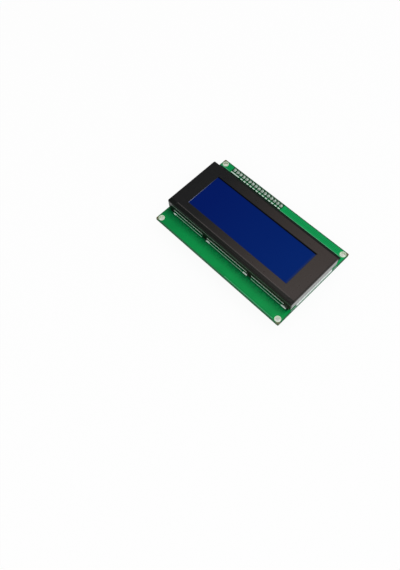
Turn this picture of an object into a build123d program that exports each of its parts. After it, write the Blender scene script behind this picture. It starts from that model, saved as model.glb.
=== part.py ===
"""Character display module on a carrier board, with a serial adapter board soldered behind it.

Frame: the origin is the centre of the four mounting holes, on the display side of the main board.
X runs along the header edge as seen from the front, Y runs towards the header edge, and Z points
out of the display. All sizes are millimetres.
"""
from build123d import *
from math import asin, atan, cos, degrees, pi, radians, sin
import os

# Main board
board_length = 98.0
board_width = 60.0
board_thickness = 1.6
board_corner_radius = 0.6
hole_inset = 2.5
mount_hole_diameter = 3.0
ring_wall = 0.1
ring_flange_diameter = 3.8
ring_flange_thickness = 0.06
ring_flange_sides = 24

# Header row between the two boards
pin_count = 16
pin_pitch = 2.54
pin_size = 0.64
pin_hole_diameter = 1.0
header_end_inset = 10.2
header_edge_inset = 2.1
header_block_height = 2.5
header_block_width = 2.5
header_block_bevel = 0.5
pin_front_length = 3.2
pin_rear_length = 1.5
pin_tip_length = 0.5
pin_tip_size = 0.34

# Bezel, one folded and painted steel sheet
sheet = 0.5
bezel_end_gap = 0.6
bezel_side_gap = 10.3
bezel_top = 9.05
bend_radius = 1.0
bezel_corner_radius = 0.8
skirt_gap_long = 2.45
skirt_gap_short = 2.25
window_end_margin = 10.3
window_side_margin = 7.1
window_corner_radius = 0.5
window_offset_y = 0.15
bead_depth = 0.3
bead_left_margin = 5.6
bead_right_margin = 3.5
bead_edge_margin = 2.8
bead_width = 1.6
bead_flank = 0.25
bead_corner_radius = 0.7
bead_shift = 0.1

# Feet of the bezel
foot_inner_x = 17.55
foot_end_margin = 3.1
shoulder_width = 3.6
tab_width = 2.8
tab_drop = 2.2
tab_twist = 38.0
twist_height = 0.9
twist_start = 0.1
twist_steps = 3
slot_clearance = 0.2
tab_chamfer = 0.5

# Display cell and films
glass_thickness = 1.1
polariser_thickness = 0.2
glass_end_margin = 5.4
rear_glass_inset = 0.1
front_polariser_margin = 2.4
film_margin = 0.3

# Elastomer contact strips
strip_thickness = 1.6
strip_gap = 0.15
strip_ledge = 0.05
strip_end_margin = 3.0

# Backlight
frame_side_gap = 4.9
frame_floor = 0.9
frame_rim = 1.2
frame_gap = 0.1
frame_flange_gap = 0.15
frame_end_overhang = 0.35
frame_end_rim = 4.3
cavity_end_wall = 0.5
guide_gap = 0.1
diffuser_thickness = 0.2
post_length = 1.0
post_gap = 0.15
post_drop = 0.25
emitter_count = 6
emitter_length = 1.1
emitter_width = 2.8
emitter_height = 1.4
emitter_end_margin = 2.5
strip_board_thickness = 0.6
strip_board_height = 3.6
strip_board_gap = 0.6
lead_size = 0.5
lead_spacing = 14.8
lead_top = 3.8
lead_tail = 1.0
lead_hole_diameter = 0.9
lead_joint_height = 0.9

# Resin blobs over the driver chips
blob_diameter = 11.0
blob_height = 1.9
blob_bands = 3
blob_sides = 24
blob_places = ((27.8, 0.6), (7.9, 8.0), (4.9, -8.9), (-17.7, 7.9), (-25.4, -8.9))

# Chip parts on the main board: length, width, height, metal end length and run of the solder
board_chip = (2.0, 1.25, 0.55)
board_chip_end = 0.4
board_solder_run = 0.3
end_step = 0.05
board_resistor_places = (
    (-30.8, 3.4, 0), (-30.8, 5.9, 0), (-30.8, 8.4, 0), (-34.4, 3.4, 0), (-34.4, 5.9, 0),
    (-34.4, 8.4, 0), (-26.2, 3.6, 0), (36.0, -11.2, 90), (28.4, -11.0, 90), (43.0, 13.0, 90),
)
board_capacitor_places = ((-39.4, -0.9, 0), (-42.0, 2.6, 0), (32.6, -11.2, 90), (40.4, 12.6, 90))

# Adapter board. What stands on it is measured from its header corner: along the row, then down
adapter_thickness = 1.6
adapter_corner_radius = 0.4
adapter_edge_to_row = 1.3
adapter_overhang = 2.15
adapter_end_margin = 1.75
adapter_low_row = 17.7
adapter_low_margin = 1.4

# Expander chip and its leads
chip_along = 21.05
chip_down = 9.9
chip_body = (7.5, 10.3, 2.3)
chip_standoff = 0.15
chip_mould_angle = 5.0
chip_lead_count = 8
chip_lead_pitch = 1.27
chip_lead_width = 0.4
chip_lead_thickness = 0.25
chip_lead_reach = 1.4
chip_foot_length = 0.8
chip_lead_shoulder = 0.33
chip_lead_slant = 0.15
chip_notch_diameter = 1.2
chip_notch_depth = 0.15

# Contrast trimmer
trimmer_along = 9.35
trimmer_down = 8.3
trimmer_length = 6.7
trimmer_width = 6.9
trimmer_height = 4.8
trimmer_standoff = 0.4
trimmer_standoff_width = 1.2
trimmer_edge = 0.25
rotor_diameter = 3.9
rotor_thickness = 0.9
rotor_clearance = 0.15
rotor_stem_diameter = 1.6
rotor_stem_length = 1.4
rotor_recess = 0.1
cross_length = 2.7
cross_width = 0.6
cross_depth = 0.55
trimmer_leg_size = 0.5
trimmer_leg_tail = 0.9
trimmer_leg_spread = 5.0
trimmer_leg_hole = 0.8

# Right-angle headers on the adapter board
bus_pin_count = 4
bus_down = 8.65
bus_riser_inset = 4.65
bus_block_offset = 0.75
bus_pin_reach = 5.9
jumper_pin_count = 2
jumper_down = 8.6
jumper_riser_inset = 3.45
jumper_block_offset = 0.75
jumper_pin_reach = 2.8
block_size = 2.54
block_bevel = 0.35
angle_pin_tail = 0.9
angle_pin_bend = 0.58
angle_joint_height = 0.7

# Chip parts on the adapter board
small_chip = (1.6, 0.8, 0.45)
small_chip_end = 0.3
small_solder_run = 0.2
resistor_alongs = (36.25, 33.65, 31.05)
resistor_downs = (15.5, 13.7, 11.9)
low_resistor_alongs = (19.75, 28.35)
capacitor_alongs = (32.55, 30.55)
capacitor_downs = (8.6, 5.8)
low_capacitor_alongs = (23.75, 15.75)
led_along = 36.55
led_down = 4.9
transistor_along = 35.75
transistor_down = 8.8
transistor_body_size = (1.3, 2.9, 1.0)
transistor_lead_width = 0.4
transistor_lead_thickness = 0.15
transistor_lead_reach = 0.55
transistor_lead_spread = 1.9
transistor_standoff = 0.1
land_size = 1.0
land_gap = 0.3
land_thickness = 0.08
land_alongs = (11.75, 9.35, 6.95)
land_down = 16.8

# Solder joints
joint_diameter = 1.9
joint_height = 1.1
joint_top_diameter = 0.95
joint_sides = 8

# How far a cutter runs past what it cuts
cut_past = 1.0

# Places worked out from the sizes above: boards and header
hole_spacing_x = board_length - 2 * hole_inset
hole_spacing_y = board_width - 2 * hole_inset
header_first_x = -board_length / 2 + header_end_inset
header_row_y = board_width / 2 - header_edge_inset
pin_xs = [header_first_x + i * pin_pitch for i in range(pin_count)]
board_rear = -board_thickness
adapter_near = board_rear - header_block_height
adapter_far = adapter_near - adapter_thickness
adapter_top_y = header_row_y + adapter_edge_to_row
adapter_x0 = header_first_x - adapter_overhang
adapter_length = (pin_count - 1) * pin_pitch + adapter_overhang + adapter_end_margin
adapter_width = adapter_low_row + adapter_low_margin
adapter_x1 = adapter_x0 + adapter_length
adapter_centre = (adapter_x0 + adapter_length / 2, adapter_top_y - adapter_width / 2)

# Places of the bezel, the display cell and the backlight
bezel_length = board_length - 2 * bezel_end_gap
bezel_width = board_width - 2 * bezel_side_gap
window_length = bezel_length - 2 * window_end_margin
window_width = bezel_width - 2 * window_side_margin
bead_left = -bezel_length / 2 + bead_left_margin
bead_right = bezel_length / 2 - bead_right_margin
bead_inner_y = -bezel_width / 2 + bead_edge_margin
foot_outer_x = bezel_length / 2 - foot_end_margin
skirt_mid_y = bezel_width / 2 - sheet / 2
foot_xs = (-foot_outer_x, -foot_inner_x, foot_inner_x, foot_outer_x)
foot_places = [(x, side) for side in (-1, 1) for x in foot_xs]
front_polariser_top = bezel_top - sheet
front_glass_top = front_polariser_top - polariser_thickness
rear_glass_top = front_glass_top - glass_thickness
rear_glass_bottom = rear_glass_top - glass_thickness
frame_top = rear_glass_bottom
frame_width = bezel_width - 2 * frame_side_gap
frame_flange_height = skirt_gap_short - frame_flange_gap
frame_flange_length = bezel_length + 2 * frame_end_overhang
glass_length = bezel_length - 2 * glass_end_margin
rear_glass_width = frame_width - 2 * rear_glass_inset
front_glass_width = frame_width + 2 * (strip_gap + strip_thickness + strip_ledge)
strip_length = glass_length - 2 * strip_end_margin
rear_polariser_bottom = rear_glass_bottom - polariser_thickness
diffuser_bottom = rear_polariser_bottom - diffuser_thickness
strip_y = frame_width / 2 + strip_gap + strip_thickness / 2
frame_body_length = bezel_length - 2 * sheet - 2 * frame_gap
cavity_width = frame_width - 2 * frame_rim
cavity_left = -frame_body_length / 2 + frame_end_rim
cavity_right = frame_body_length / 2 - cavity_end_wall
lead_x = cavity_right - lead_size / 2
lead_places = [(lead_x, side * lead_spacing / 2) for side in (-1, 1)]
strip_board_x = cavity_right - lead_size - strip_board_thickness / 2
strip_board_width = cavity_width - 2 * strip_board_gap
emitter_row_width = strip_board_width - 2 * emitter_end_margin
emitter_x = strip_board_x - strip_board_thickness / 2 - emitter_length / 2
guide_right = emitter_x - emitter_length / 2
guide_left = cavity_left + guide_gap

# Places on the adapter board
chip_x = adapter_x0 + chip_along
chip_y = adapter_top_y - chip_down
trimmer_x = adapter_x0 + trimmer_along
trimmer_y = adapter_top_y - trimmer_down
trimmer_seat = adapter_far - trimmer_standoff
trimmer_face = trimmer_seat - trimmer_height
trimmer_legs = (
    (trimmer_x, trimmer_y + trimmer_leg_spread / 2),
    (trimmer_x - trimmer_leg_spread / 2, trimmer_y - trimmer_leg_spread / 2),
    (trimmer_x + trimmer_leg_spread / 2, trimmer_y - trimmer_leg_spread / 2),
)
bus_low_y = adapter_top_y - bus_down - (bus_pin_count - 1) / 2 * pin_pitch
bus_pin_ys = [bus_low_y + i * pin_pitch for i in range(bus_pin_count)]
bus_riser_x = adapter_x0 + bus_riser_inset
bus_inner_x = bus_riser_x - bus_block_offset
bus_outer_x = bus_inner_x - block_size
jumper_low_y = adapter_top_y - jumper_down - (jumper_pin_count - 1) / 2 * pin_pitch
jumper_pin_ys = [jumper_low_y + i * pin_pitch for i in range(jumper_pin_count)]
jumper_riser_x = adapter_x1 - jumper_riser_inset
jumper_inner_x = jumper_riser_x + jumper_block_offset
jumper_outer_x = jumper_inner_x + block_size
angle_pin_z = adapter_far - block_size / 2
adapter_resistor_places = [
    (adapter_x0 + x, adapter_top_y - y, 0) for x in resistor_alongs for y in resistor_downs]
adapter_low_y = adapter_top_y - adapter_low_row
adapter_resistor_places += [(adapter_x0 + x, adapter_low_y, 0) for x in low_resistor_alongs]
adapter_capacitor_places = [
    (adapter_x0 + x, adapter_top_y - y, 90) for x in capacitor_alongs for y in capacitor_downs]
adapter_capacitor_places += [(adapter_x0 + x, adapter_low_y, 0) for x in low_capacitor_alongs]
led_places = [(adapter_x0 + led_along, adapter_top_y - led_down, 0)]
transistor_x = adapter_x0 + transistor_along
transistor_y = adapter_top_y - transistor_down
land_places = [(adapter_x0 + x, adapter_top_y - land_down) for x in land_alongs]


# How a solid lies on its starting plane
ON_FLOOR = (Align.CENTER, Align.CENTER, Align.MIN)
HANGING = (Align.CENTER, Align.CENTER, Align.MAX)


def box_between(x0, x1, y0, y1, z0, z1):
    """A plain box given by its faces."""
    size = (x1 - x0, y1 - y0, z1 - z0)
    return Pos((x0 + x1) / 2, (y0 + y1) / 2, (z0 + z1) / 2) * Box(*size)


def plate(length, width, radius, bottom, top):
    """A flat plate with rounded corners, centred on Z."""
    outline = RectangleRounded(length, width, radius) if radius > 0 else Rectangle(length, width)
    return extrude(Pos(0, 0, bottom) * outline, amount=top - bottom)


def round_bores(places, diameter, bottom, top):
    """Round holes through a board, one cutter for all of them."""
    circles = [Pos(x, y, bottom) * Circle(diameter / 2) for x, y in places]
    return extrude(Sketch() + circles, amount=top - bottom)


def pin_bores(places, diameter, bottom, top):
    """Small plated holes for pins and leads, eight-sided because they repeat so often."""
    holes = [Pos(x, y, bottom) * RegularPolygon(diameter / 2, joint_sides) for x, y in places]
    return extrude(Sketch() + holes, amount=top - bottom)


def group(solids):
    """Separate solids kept together under one name."""
    return Compound(children=list(solids))


def corner_places():
    return [(sx * hole_spacing_x / 2, sy * hole_spacing_y / 2) for sx in (-1, 1) for sy in (-1, 1)]


# Main board with its holes and slots
def main_board():
    board = plate(board_length, board_width, board_corner_radius, board_rear, 0)
    under = board_rear - cut_past
    board -= round_bores(corner_places(), mount_hole_diameter + 2 * ring_wall, under, cut_past)
    board -= pin_bores([(x, header_row_y) for x in pin_xs], pin_hole_diameter, under, cut_past)
    board -= pin_bores(lead_places, lead_hole_diameter, under, cut_past)
    slot = Rectangle(tab_width + 2 * slot_clearance, sheet + 2 * slot_clearance)
    slots = [Pos(x, side * skirt_mid_y, under) * slot for x, side in foot_places]
    return board - extrude(Sketch() + slots, amount=board_thickness + 2 * cut_past)


# Plated rings: an eyelet with a thin flange on each face of the board
def hole_rings():
    rings = []
    for x, y in corner_places():
        bore = mount_hole_diameter / 2
        flange = ring_flange_diameter / 2
        low = Pos(0, 0, -board_thickness - ring_flange_thickness)
        height = board_thickness + 2 * ring_flange_thickness
        disc = extrude(RegularPolygon(flange, ring_flange_sides), amount=ring_flange_thickness)
        ring = low * Cylinder(bore + ring_wall, height, align=ON_FLOOR) + disc + low * disc
        ring -= low * Cylinder(bore, height, align=ON_FLOOR)
        rings.append(Pos(x, y, 0) * ring)
    return group(rings)


def skirted_block(length, width, radius, bend, top):
    """A block with rounded upright corners and a rolled top edge."""
    block = plate(length, width, radius, 0, top)
    return fillet(block.faces().sort_by(Axis.Z)[-1].edges(), bend)


def bead_form(grow, floor, top):
    """The pressed bead beside the window, with sloping flanks."""
    length = bead_right - bead_left + 2 * grow
    width = bead_width + 2 * grow
    centre = ((bead_left + bead_right) / 2, bead_inner_y - bead_width / 2)
    run = bead_flank * (top - floor) / bead_depth
    lower = RectangleRounded(length - 2 * run, width - 2 * run, bead_corner_radius - run)
    upper = RectangleRounded(length, width, bead_corner_radius)
    return loft([Pos(*centre, floor) * lower, Pos(*centre, top) * upper])


def faceted(rings):
    """A solid of flat facets through rings of points, each ring joined to the next."""
    faces = [Face(Wire.make_polygon(rings[0])), Face(Wire.make_polygon(rings[-1]))]
    for upper, lower in zip(rings, rings[1:]):
        for i in range(len(upper)):
            j = (i + 1) % len(upper)
            faces.append(Face(Wire.make_polygon([upper[i], upper[j], lower[i]])))
            faces.append(Face(Wire.make_polygon([upper[j], lower[j], lower[i]])))
    return Solid(Shell(faces))


# A foot of the bezel: shoulder on the board, tab through the slot, twisted below it
def foot(x, side):
    y = side * skirt_mid_y
    shoulder = box_between(
        x - shoulder_width / 2, x + shoulder_width / 2, y - sheet / 2, y + sheet / 2, 0, skirt_gap_long)
    turn_start = board_rear - twist_start
    turn_end = turn_start - twist_height
    tab = Pos(x, y, turn_start) * Box(tab_width, sheet, -turn_start, align=ON_FLOOR)
    corners = [(sx * tab_width / 2, sy * sheet / 2) for sx, sy in ((-1, -1), (1, -1), (1, 1), (-1, 1))]
    rings = []
    for i in range(twist_steps + 1):
        turned = Pos(x, y, turn_start - twist_height * i / twist_steps)
        turned *= Rot(0, 0, side * tab_twist * i / twist_steps)
        rings.append([(turned * Pos(a, b, 0)).position for a, b in corners])
    twisted = faceted(rings)
    length = tab_drop - twist_start - twist_height
    tip = Box(tab_width, sheet, length, align=HANGING)
    tip = chamfer(tip.edges().filter_by(Axis.Y).group_by(Axis.Z)[0], tab_chamfer)
    tip = Pos(x, y, turn_end) * Rot(0, 0, side * tab_twist) * tip
    return shoulder + tab + twisted + tip


# Bezel: top with window and bead, four skirts and eight feet
def bezel():
    shell = skirted_block(bezel_length, bezel_width, bezel_corner_radius, bend_radius, bezel_top)
    shell -= bead_form(0, bezel_top - bead_depth, bezel_top)
    hollow = skirted_block(
        bezel_length - 2 * sheet, bezel_width - 2 * sheet, bezel_corner_radius - sheet,
        bend_radius - sheet, bezel_top - sheet)
    hollow -= bead_form(bead_shift, bezel_top - sheet - bead_depth, bezel_top - sheet)
    shell -= hollow
    opening = RectangleRounded(window_length, window_width, window_corner_radius)
    shell -= extrude(Pos(0, window_offset_y, 0) * opening, amount=bezel_top + cut_past)
    shell -= Box(bezel_length + cut_past, bezel_width + cut_past, skirt_gap_short, align=ON_FLOOR)
    straight = bezel_length - 2 * bezel_corner_radius - 2 * sheet
    shell -= Box(straight, bezel_width + cut_past, skirt_gap_long, align=ON_FLOOR)
    for x, side in foot_places:
        shell += foot(x, side)
    return shell


# Display cell: two glass plates and two films
def front_polariser():
    size = 2 * front_polariser_margin
    film = plate(window_length + size, window_width + size, 0, front_glass_top, front_polariser_top)
    return Pos(0, window_offset_y, 0) * film


def front_glass():
    return plate(glass_length, front_glass_width, 0, rear_glass_top, front_glass_top)


def rear_glass():
    return plate(glass_length, rear_glass_width, 0, rear_glass_bottom, rear_glass_top)


def rear_polariser():
    length = glass_length - 2 * film_margin
    width = cavity_width - 2 * film_margin
    return plate(length, width, 0, rear_polariser_bottom, rear_glass_bottom)


# Striped elastomer strips that carry the signals from the board up to the glass
def contact_strips():
    strips = []
    for side in (-1, 1):
        strip = Box(strip_length, strip_thickness, rear_glass_top, align=ON_FLOOR)
        strips.append(Pos(0, side * strip_y, 0) * strip)
    return group(strips)


# Backlight frame: a tray with a flange at the board, a cavity and four posts for the glass
def backlight_frame():
    tray = plate(frame_flange_length, frame_width, 0, 0, frame_flange_height)
    tray += plate(frame_body_length, frame_width, 0, 0, frame_top)
    tray -= box_between(
        cavity_left, cavity_right, -cavity_width / 2, cavity_width / 2, frame_floor, frame_top + cut_past)
    post_start = glass_length / 2 + post_gap
    post_top = front_glass_top - post_drop
    for sx in (-1, 1):
        for sy in (-1, 1):
            post = Box(post_length, frame_rim, post_top - frame_top, align=ON_FLOOR)
            x = sx * (post_start + post_length / 2)
            y = sy * (frame_width / 2 - frame_rim / 2)
            tray += Pos(x, y, frame_top) * post
    return tray - pin_bores(lead_places, lead_hole_diameter, -cut_past, frame_floor + cut_past)


# Light guide with a sloping lip at the emitters
def light_guide():
    half = cavity_width / 2 - guide_gap
    guide = box_between(guide_left, guide_right, -half, half, frame_floor, diffuser_bottom)
    lip = guide.edges().filter_by(Axis.Y).sort_by(lambda e: e.center().X + e.center().Z)[-1]
    return chamfer(lip, emitter_height / 2)


def diffuser_film():
    half = cavity_width / 2 - guide_gap
    right = guide_right - emitter_height
    return box_between(guide_left, right, -half, half, diffuser_bottom, rear_polariser_bottom)


# Emitter strip at the end of the light guide
def emitter_board():
    half = strip_board_width / 2
    x0 = strip_board_x - strip_board_thickness / 2
    x1 = strip_board_x + strip_board_thickness / 2
    return box_between(x0, x1, -half, half, frame_floor, frame_floor + strip_board_height)


def emitters():
    step = emitter_row_width / (emitter_count - 1)
    z = frame_floor + strip_board_height / 2
    emitter = Box(emitter_length, emitter_width, emitter_height)
    ys = [-emitter_row_width / 2 + i * step for i in range(emitter_count)]
    return group(Pos(emitter_x, y, z) * emitter for y in ys)


def backlight_leads():
    bottom = board_rear - lead_tail
    lead = Box(lead_size, lead_size, lead_top - bottom, align=ON_FLOOR)
    return group(Pos(x, y, bottom) * lead for x, y in lead_places)


def solder_joint(size, height):
    """A solder cone of a few flat sides with a square hole for the pin, standing up."""
    run = (joint_diameter - joint_top_diameter) / 2 * cos(pi / joint_sides)
    base = RegularPolygon(joint_diameter / 2, joint_sides)
    return extrude(base, amount=height, taper=degrees(atan(run / height))) - Box(size, size, 4 * height)


def joints_below(places, z, size, height):
    """Solder cones that hang from a face."""
    cone = Rot(180, 0, 0) * solder_joint(size, height)
    return [Pos(x, y, z) * cone for x, y in places]


def lead_solder():
    return group(joints_below(lead_places, board_rear, lead_size, lead_joint_height))


# Resin blobs on the rear face, low domes of flat facets that follow a sphere
def driver_blobs():
    base = blob_diameter / 2
    radius = (base ** 2 + blob_height ** 2) / (2 * blob_height)
    opening = asin(base / radius)
    rings = []
    for band in range(blob_bands + 1):
        angle = opening * (1 - band / (blob_bands + 0.5))
        start = Pos(radius * sin(angle), 0, radius - blob_height - radius * cos(angle))
        rings.append([(Rot(0, 0, 360 * i / blob_sides) * start).position for i in range(blob_sides)])
    dome = faceted(rings)
    return group(Pos(x, y, board_rear) * dome for x, y in blob_places)


def chip_bodies(places, size, end, z):
    """The ceramic bodies of chip parts, hanging from a face."""
    length, width, height = size
    body = Box(length - 2 * end, width, height - end_step, align=HANGING)
    return group(Pos(x, y, z) * Rot(0, 0, angle) * body for x, y, angle in places)


def chip_ends(places, size, end, run, z):
    """The metal ends of chip parts, each with the slope of solder that runs down to its pad."""
    length, width, height = size
    inner = length / 2 - end
    outer = length / 2
    outline = Polyline((inner, 0), (outer + run, 0), (outer, -height), (inner, -height), close=True)
    cap = Rot(90, 0, 0) * extrude(make_face(outline), amount=width / 2, both=True)
    turns = [(x, y, angle + side) for x, y, angle in places for side in (0, 180)]
    return group(Pos(x, y, z) * Rot(0, 0, angle) * cap for x, y, angle in turns)


def board_resistors():
    return chip_bodies(board_resistor_places, board_chip, board_chip_end, board_rear)


def board_capacitors():
    return chip_bodies(board_capacitor_places, board_chip, board_chip_end, board_rear)


def board_chip_ends():
    places = board_resistor_places + board_capacitor_places
    return chip_ends(places, board_chip, board_chip_end, board_solder_run, board_rear)


# Insulator strip of the long header, with a bevelled block for each pin
def header_strip():
    half = pin_pitch / 2
    side = header_block_width / 2
    cut = header_block_bevel
    outline = Polyline(
        (-half, -side + cut), (-half + cut, -side), (half - cut, -side), (half, -side + cut),
        (half, side - cut), (half - cut, side), (-half + cut, side), (-half, side - cut), close=True)
    block = make_face(outline) - Rectangle(pin_size, pin_size)
    row = Sketch() + [Pos(x, header_row_y, adapter_near) * block for x in pin_xs]
    return extrude(row, amount=header_block_height)


def square_pin(length):
    """A square pin standing on its lower tip, both tips drawn in."""
    shaft = Pos(0, 0, pin_tip_length) * Box(pin_size, pin_size, length - 2 * pin_tip_length, align=ON_FLOOR)
    slope = degrees(atan((pin_size - pin_tip_size) / 2 / pin_tip_length))
    tip = extrude(Rectangle(pin_size, pin_size), amount=pin_tip_length, taper=slope)
    low = Pos(0, 0, pin_tip_length) * Rot(180, 0, 0) * tip
    return low + shaft + Pos(0, 0, length - pin_tip_length) * tip


def header_pins():
    bottom = adapter_far - pin_rear_length
    pin = square_pin(pin_front_length - bottom)
    return group(Pos(x, header_row_y, bottom) * pin for x in pin_xs)


def header_joints_front():
    joint = solder_joint(pin_size, joint_height)
    return group(Pos(x, header_row_y, 0) * joint for x in pin_xs)


def header_joints_rear():
    places = [(x, header_row_y) for x in pin_xs]
    return group(joints_below(places, adapter_far, pin_size, joint_height))


# Adapter board
def adapter_board():
    board = Pos(*adapter_centre, 0) * plate(
        adapter_length, adapter_width, adapter_corner_radius, adapter_far, adapter_near)
    low = adapter_far - cut_past
    high = adapter_near + cut_past
    board -= pin_bores([(x, header_row_y) for x in pin_xs], pin_hole_diameter, low, high)
    board -= pin_bores([(bus_riser_x, y) for y in bus_pin_ys], pin_hole_diameter, low, high)
    board -= pin_bores([(jumper_riser_x, y) for y in jumper_pin_ys], pin_hole_diameter, low, high)
    return board - pin_bores(trimmer_legs, trimmer_leg_hole, low, high)


# Expander chip: a body with mould draft and an end notch
def expander_chip():
    width, length, height = chip_body
    draft = height / 2 * sin(radians(chip_mould_angle))
    middle = Rectangle(width, length)
    face = Rectangle(width - 2 * draft, length - 2 * draft)
    seat = adapter_far - chip_standoff
    body = loft([Pos(0, 0, seat) * face, Pos(0, 0, seat - height / 2) * middle])
    body += loft([Pos(0, 0, seat - height / 2) * middle, Pos(0, 0, seat - height) * face])
    notch = Pos(0, length / 2, seat - height) * Cylinder(chip_notch_diameter / 2, 2 * chip_notch_depth)
    return Pos(chip_x, chip_y, 0) * (body - notch)


# Gull-wing leads
def expander_leads():
    width = chip_body[0]
    height = chip_body[2]
    t = chip_lead_thickness
    top = -(chip_standoff + height / 2)
    knee = chip_lead_reach - chip_foot_length
    outline = Polyline(
        (0, top - t / 2), (chip_lead_shoulder, top - t / 2), (knee, -t), (chip_lead_reach, -t),
        (chip_lead_reach, 0), (knee - chip_lead_slant, 0),
        (chip_lead_shoulder - chip_lead_slant, top + t / 2), (0, top + t / 2), close=True)
    lead = Rot(90, 0, 0) * extrude(make_face(outline), amount=chip_lead_width / 2, both=True)
    leads = []
    for i in range(chip_lead_count):
        y = chip_y + (i - (chip_lead_count - 1) / 2) * chip_lead_pitch
        leads.append(Pos(chip_x + width / 2, y, adapter_far) * lead)
        leads.append(Pos(chip_x - width / 2, y, adapter_far) * Rot(0, 0, 180) * lead)
    return group(leads)


# Contrast trimmer: a housing on two standoffs with a round pocket for the rotor
def trimmer_body():
    body = Pos(0, 0, trimmer_face) * Box(trimmer_length, trimmer_width, trimmer_height, align=ON_FLOOR)
    rim = body.faces().sort_by(Axis.Z)[0].edges()
    body = chamfer(rim, trimmer_edge)
    body = body + [
        Pos(0, side * (trimmer_width - trimmer_standoff_width) / 2, trimmer_seat)
        * Box(trimmer_length, trimmer_standoff_width, trimmer_standoff, align=ON_FLOOR)
        for side in (-1, 1)
    ]
    pocket = rotor_thickness + rotor_recess + rotor_clearance
    stem = rotor_stem_length + rotor_recess + 2 * rotor_clearance
    body -= Pos(0, 0, trimmer_face) * Cylinder(rotor_diameter / 2 + rotor_clearance, pocket, align=ON_FLOOR)
    body -= Pos(0, 0, trimmer_face) * Cylinder(
        rotor_stem_diameter / 2 + rotor_clearance, rotor_thickness + stem, align=ON_FLOOR)
    holes = [(x - trimmer_x, y - trimmer_y) for x, y in trimmer_legs]
    body = Pos(trimmer_x, trimmer_y, 0) * body
    wells = [Pos(trimmer_x + x, trimmer_y + y, 0) for x, y in holes]
    for well in wells:
        body -= well * Pos(0, 0, adapter_far) * Box(
            trimmer_leg_size, trimmer_leg_size, 2 * (trimmer_standoff + trimmer_leg_size))
    return body


def trimmer_rotor():
    face = trimmer_face + rotor_recess
    disc = Pos(0, 0, face) * Cylinder(rotor_diameter / 2, rotor_thickness, align=ON_FLOOR)
    stem = Pos(0, 0, face + rotor_thickness)
    rotor = disc + stem * Cylinder(rotor_stem_diameter / 2, rotor_stem_length, align=ON_FLOOR)
    for angle in (0, 90):
        bar = Box(cross_length, cross_width, cross_depth, align=ON_FLOOR)
        rotor -= Pos(0, 0, face) * Rot(0, 0, angle) * bar
    return Pos(trimmer_x, trimmer_y, 0) * rotor


def trimmer_pins():
    top = adapter_near + trimmer_leg_tail
    low = trimmer_seat - trimmer_leg_size
    leg = Box(trimmer_leg_size, trimmer_leg_size, top - low, align=ON_FLOOR)
    return group(Pos(x, y, low) * leg for x, y in trimmer_legs)


def block_row(inner_x, direction, ys):
    """Insulator blocks of a right-angle header, on the far face of the adapter board."""
    cut = block_bevel
    size = block_size
    outline = Polyline(
        (0, -size / 2 + cut), (cut, -size / 2), (size - cut, -size / 2), (size, -size / 2 + cut),
        (size, size / 2 - cut), (size - cut, size / 2), (cut, size / 2), (0, size / 2 - cut), close=True)
    profile = Pos(inner_x, 0, adapter_far) * Rot(0, 0, 0 if direction > 0 else 180) * make_face(outline)
    row = Sketch() + [Pos(0, y, 0) * profile for y in ys]
    blocks = extrude(row, amount=-size)
    for y in ys:
        blocks -= Pos(inner_x, y, angle_pin_z) * Box(4 * size, pin_size, pin_size)
    return blocks


def angle_pin(riser_x, direction, reach):
    """A right-angle pin: a riser through the board, one bend and a straight run outwards."""
    start = adapter_near + angle_pin_tail
    riser = box_between(
        riser_x - pin_size / 2, riser_x + pin_size / 2, -pin_size / 2, pin_size / 2,
        angle_pin_z - pin_size / 2, start)
    inner = min(riser_x - direction * pin_size / 2, reach)
    outer = max(riser_x - direction * pin_size / 2, reach)
    run = box_between(
        inner, outer, -pin_size / 2, pin_size / 2, angle_pin_z - pin_size / 2, angle_pin_z + pin_size / 2)
    pin = riser + run
    bend = pin.edges().filter_by(Axis.Y).sort_by(lambda e: direction * e.center().X + e.center().Z)[0]
    return fillet(bend, angle_pin_bend)


def bus_header_blocks():
    return block_row(bus_inner_x, -1, bus_pin_ys)


def bus_header_pins():
    pin = angle_pin(bus_riser_x, -1, bus_outer_x - bus_pin_reach)
    return group(Pos(0, y, 0) * pin for y in bus_pin_ys)


def jumper_header_blocks():
    return block_row(jumper_inner_x, 1, jumper_pin_ys)


def jumper_header_pins():
    pin = angle_pin(jumper_riser_x, 1, jumper_outer_x + jumper_pin_reach)
    return group(Pos(0, y, 0) * pin for y in jumper_pin_ys)


# Solder joints on the side of the adapter board that faces the main board
def adapter_joints():
    joint = solder_joint(pin_size, angle_joint_height)
    places = [(bus_riser_x, y) for y in bus_pin_ys] + [(jumper_riser_x, y) for y in jumper_pin_ys]
    joints = [Pos(x, y, adapter_near) * joint for x, y in places]
    leg_joint = solder_joint(trimmer_leg_size, angle_joint_height)
    joints += [Pos(x, y, adapter_near) * leg_joint for x, y in trimmer_legs]
    return group(joints)


def adapter_resistors():
    return chip_bodies(adapter_resistor_places, small_chip, small_chip_end, adapter_far)


def adapter_capacitors():
    return chip_bodies(adapter_capacitor_places, small_chip, small_chip_end, adapter_far)


def power_led():
    return chip_bodies(led_places, small_chip, small_chip_end, adapter_far)


def adapter_chip_ends():
    places = adapter_resistor_places + adapter_capacitor_places + led_places
    return chip_ends(places, small_chip, small_chip_end, small_solder_run, adapter_far)


# Transistor in a three-lead package
def transistor_body():
    width, length, height = transistor_body_size
    top = adapter_far - transistor_standoff
    return Pos(transistor_x, transistor_y, top) * Box(width, length, height, align=HANGING)


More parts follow.
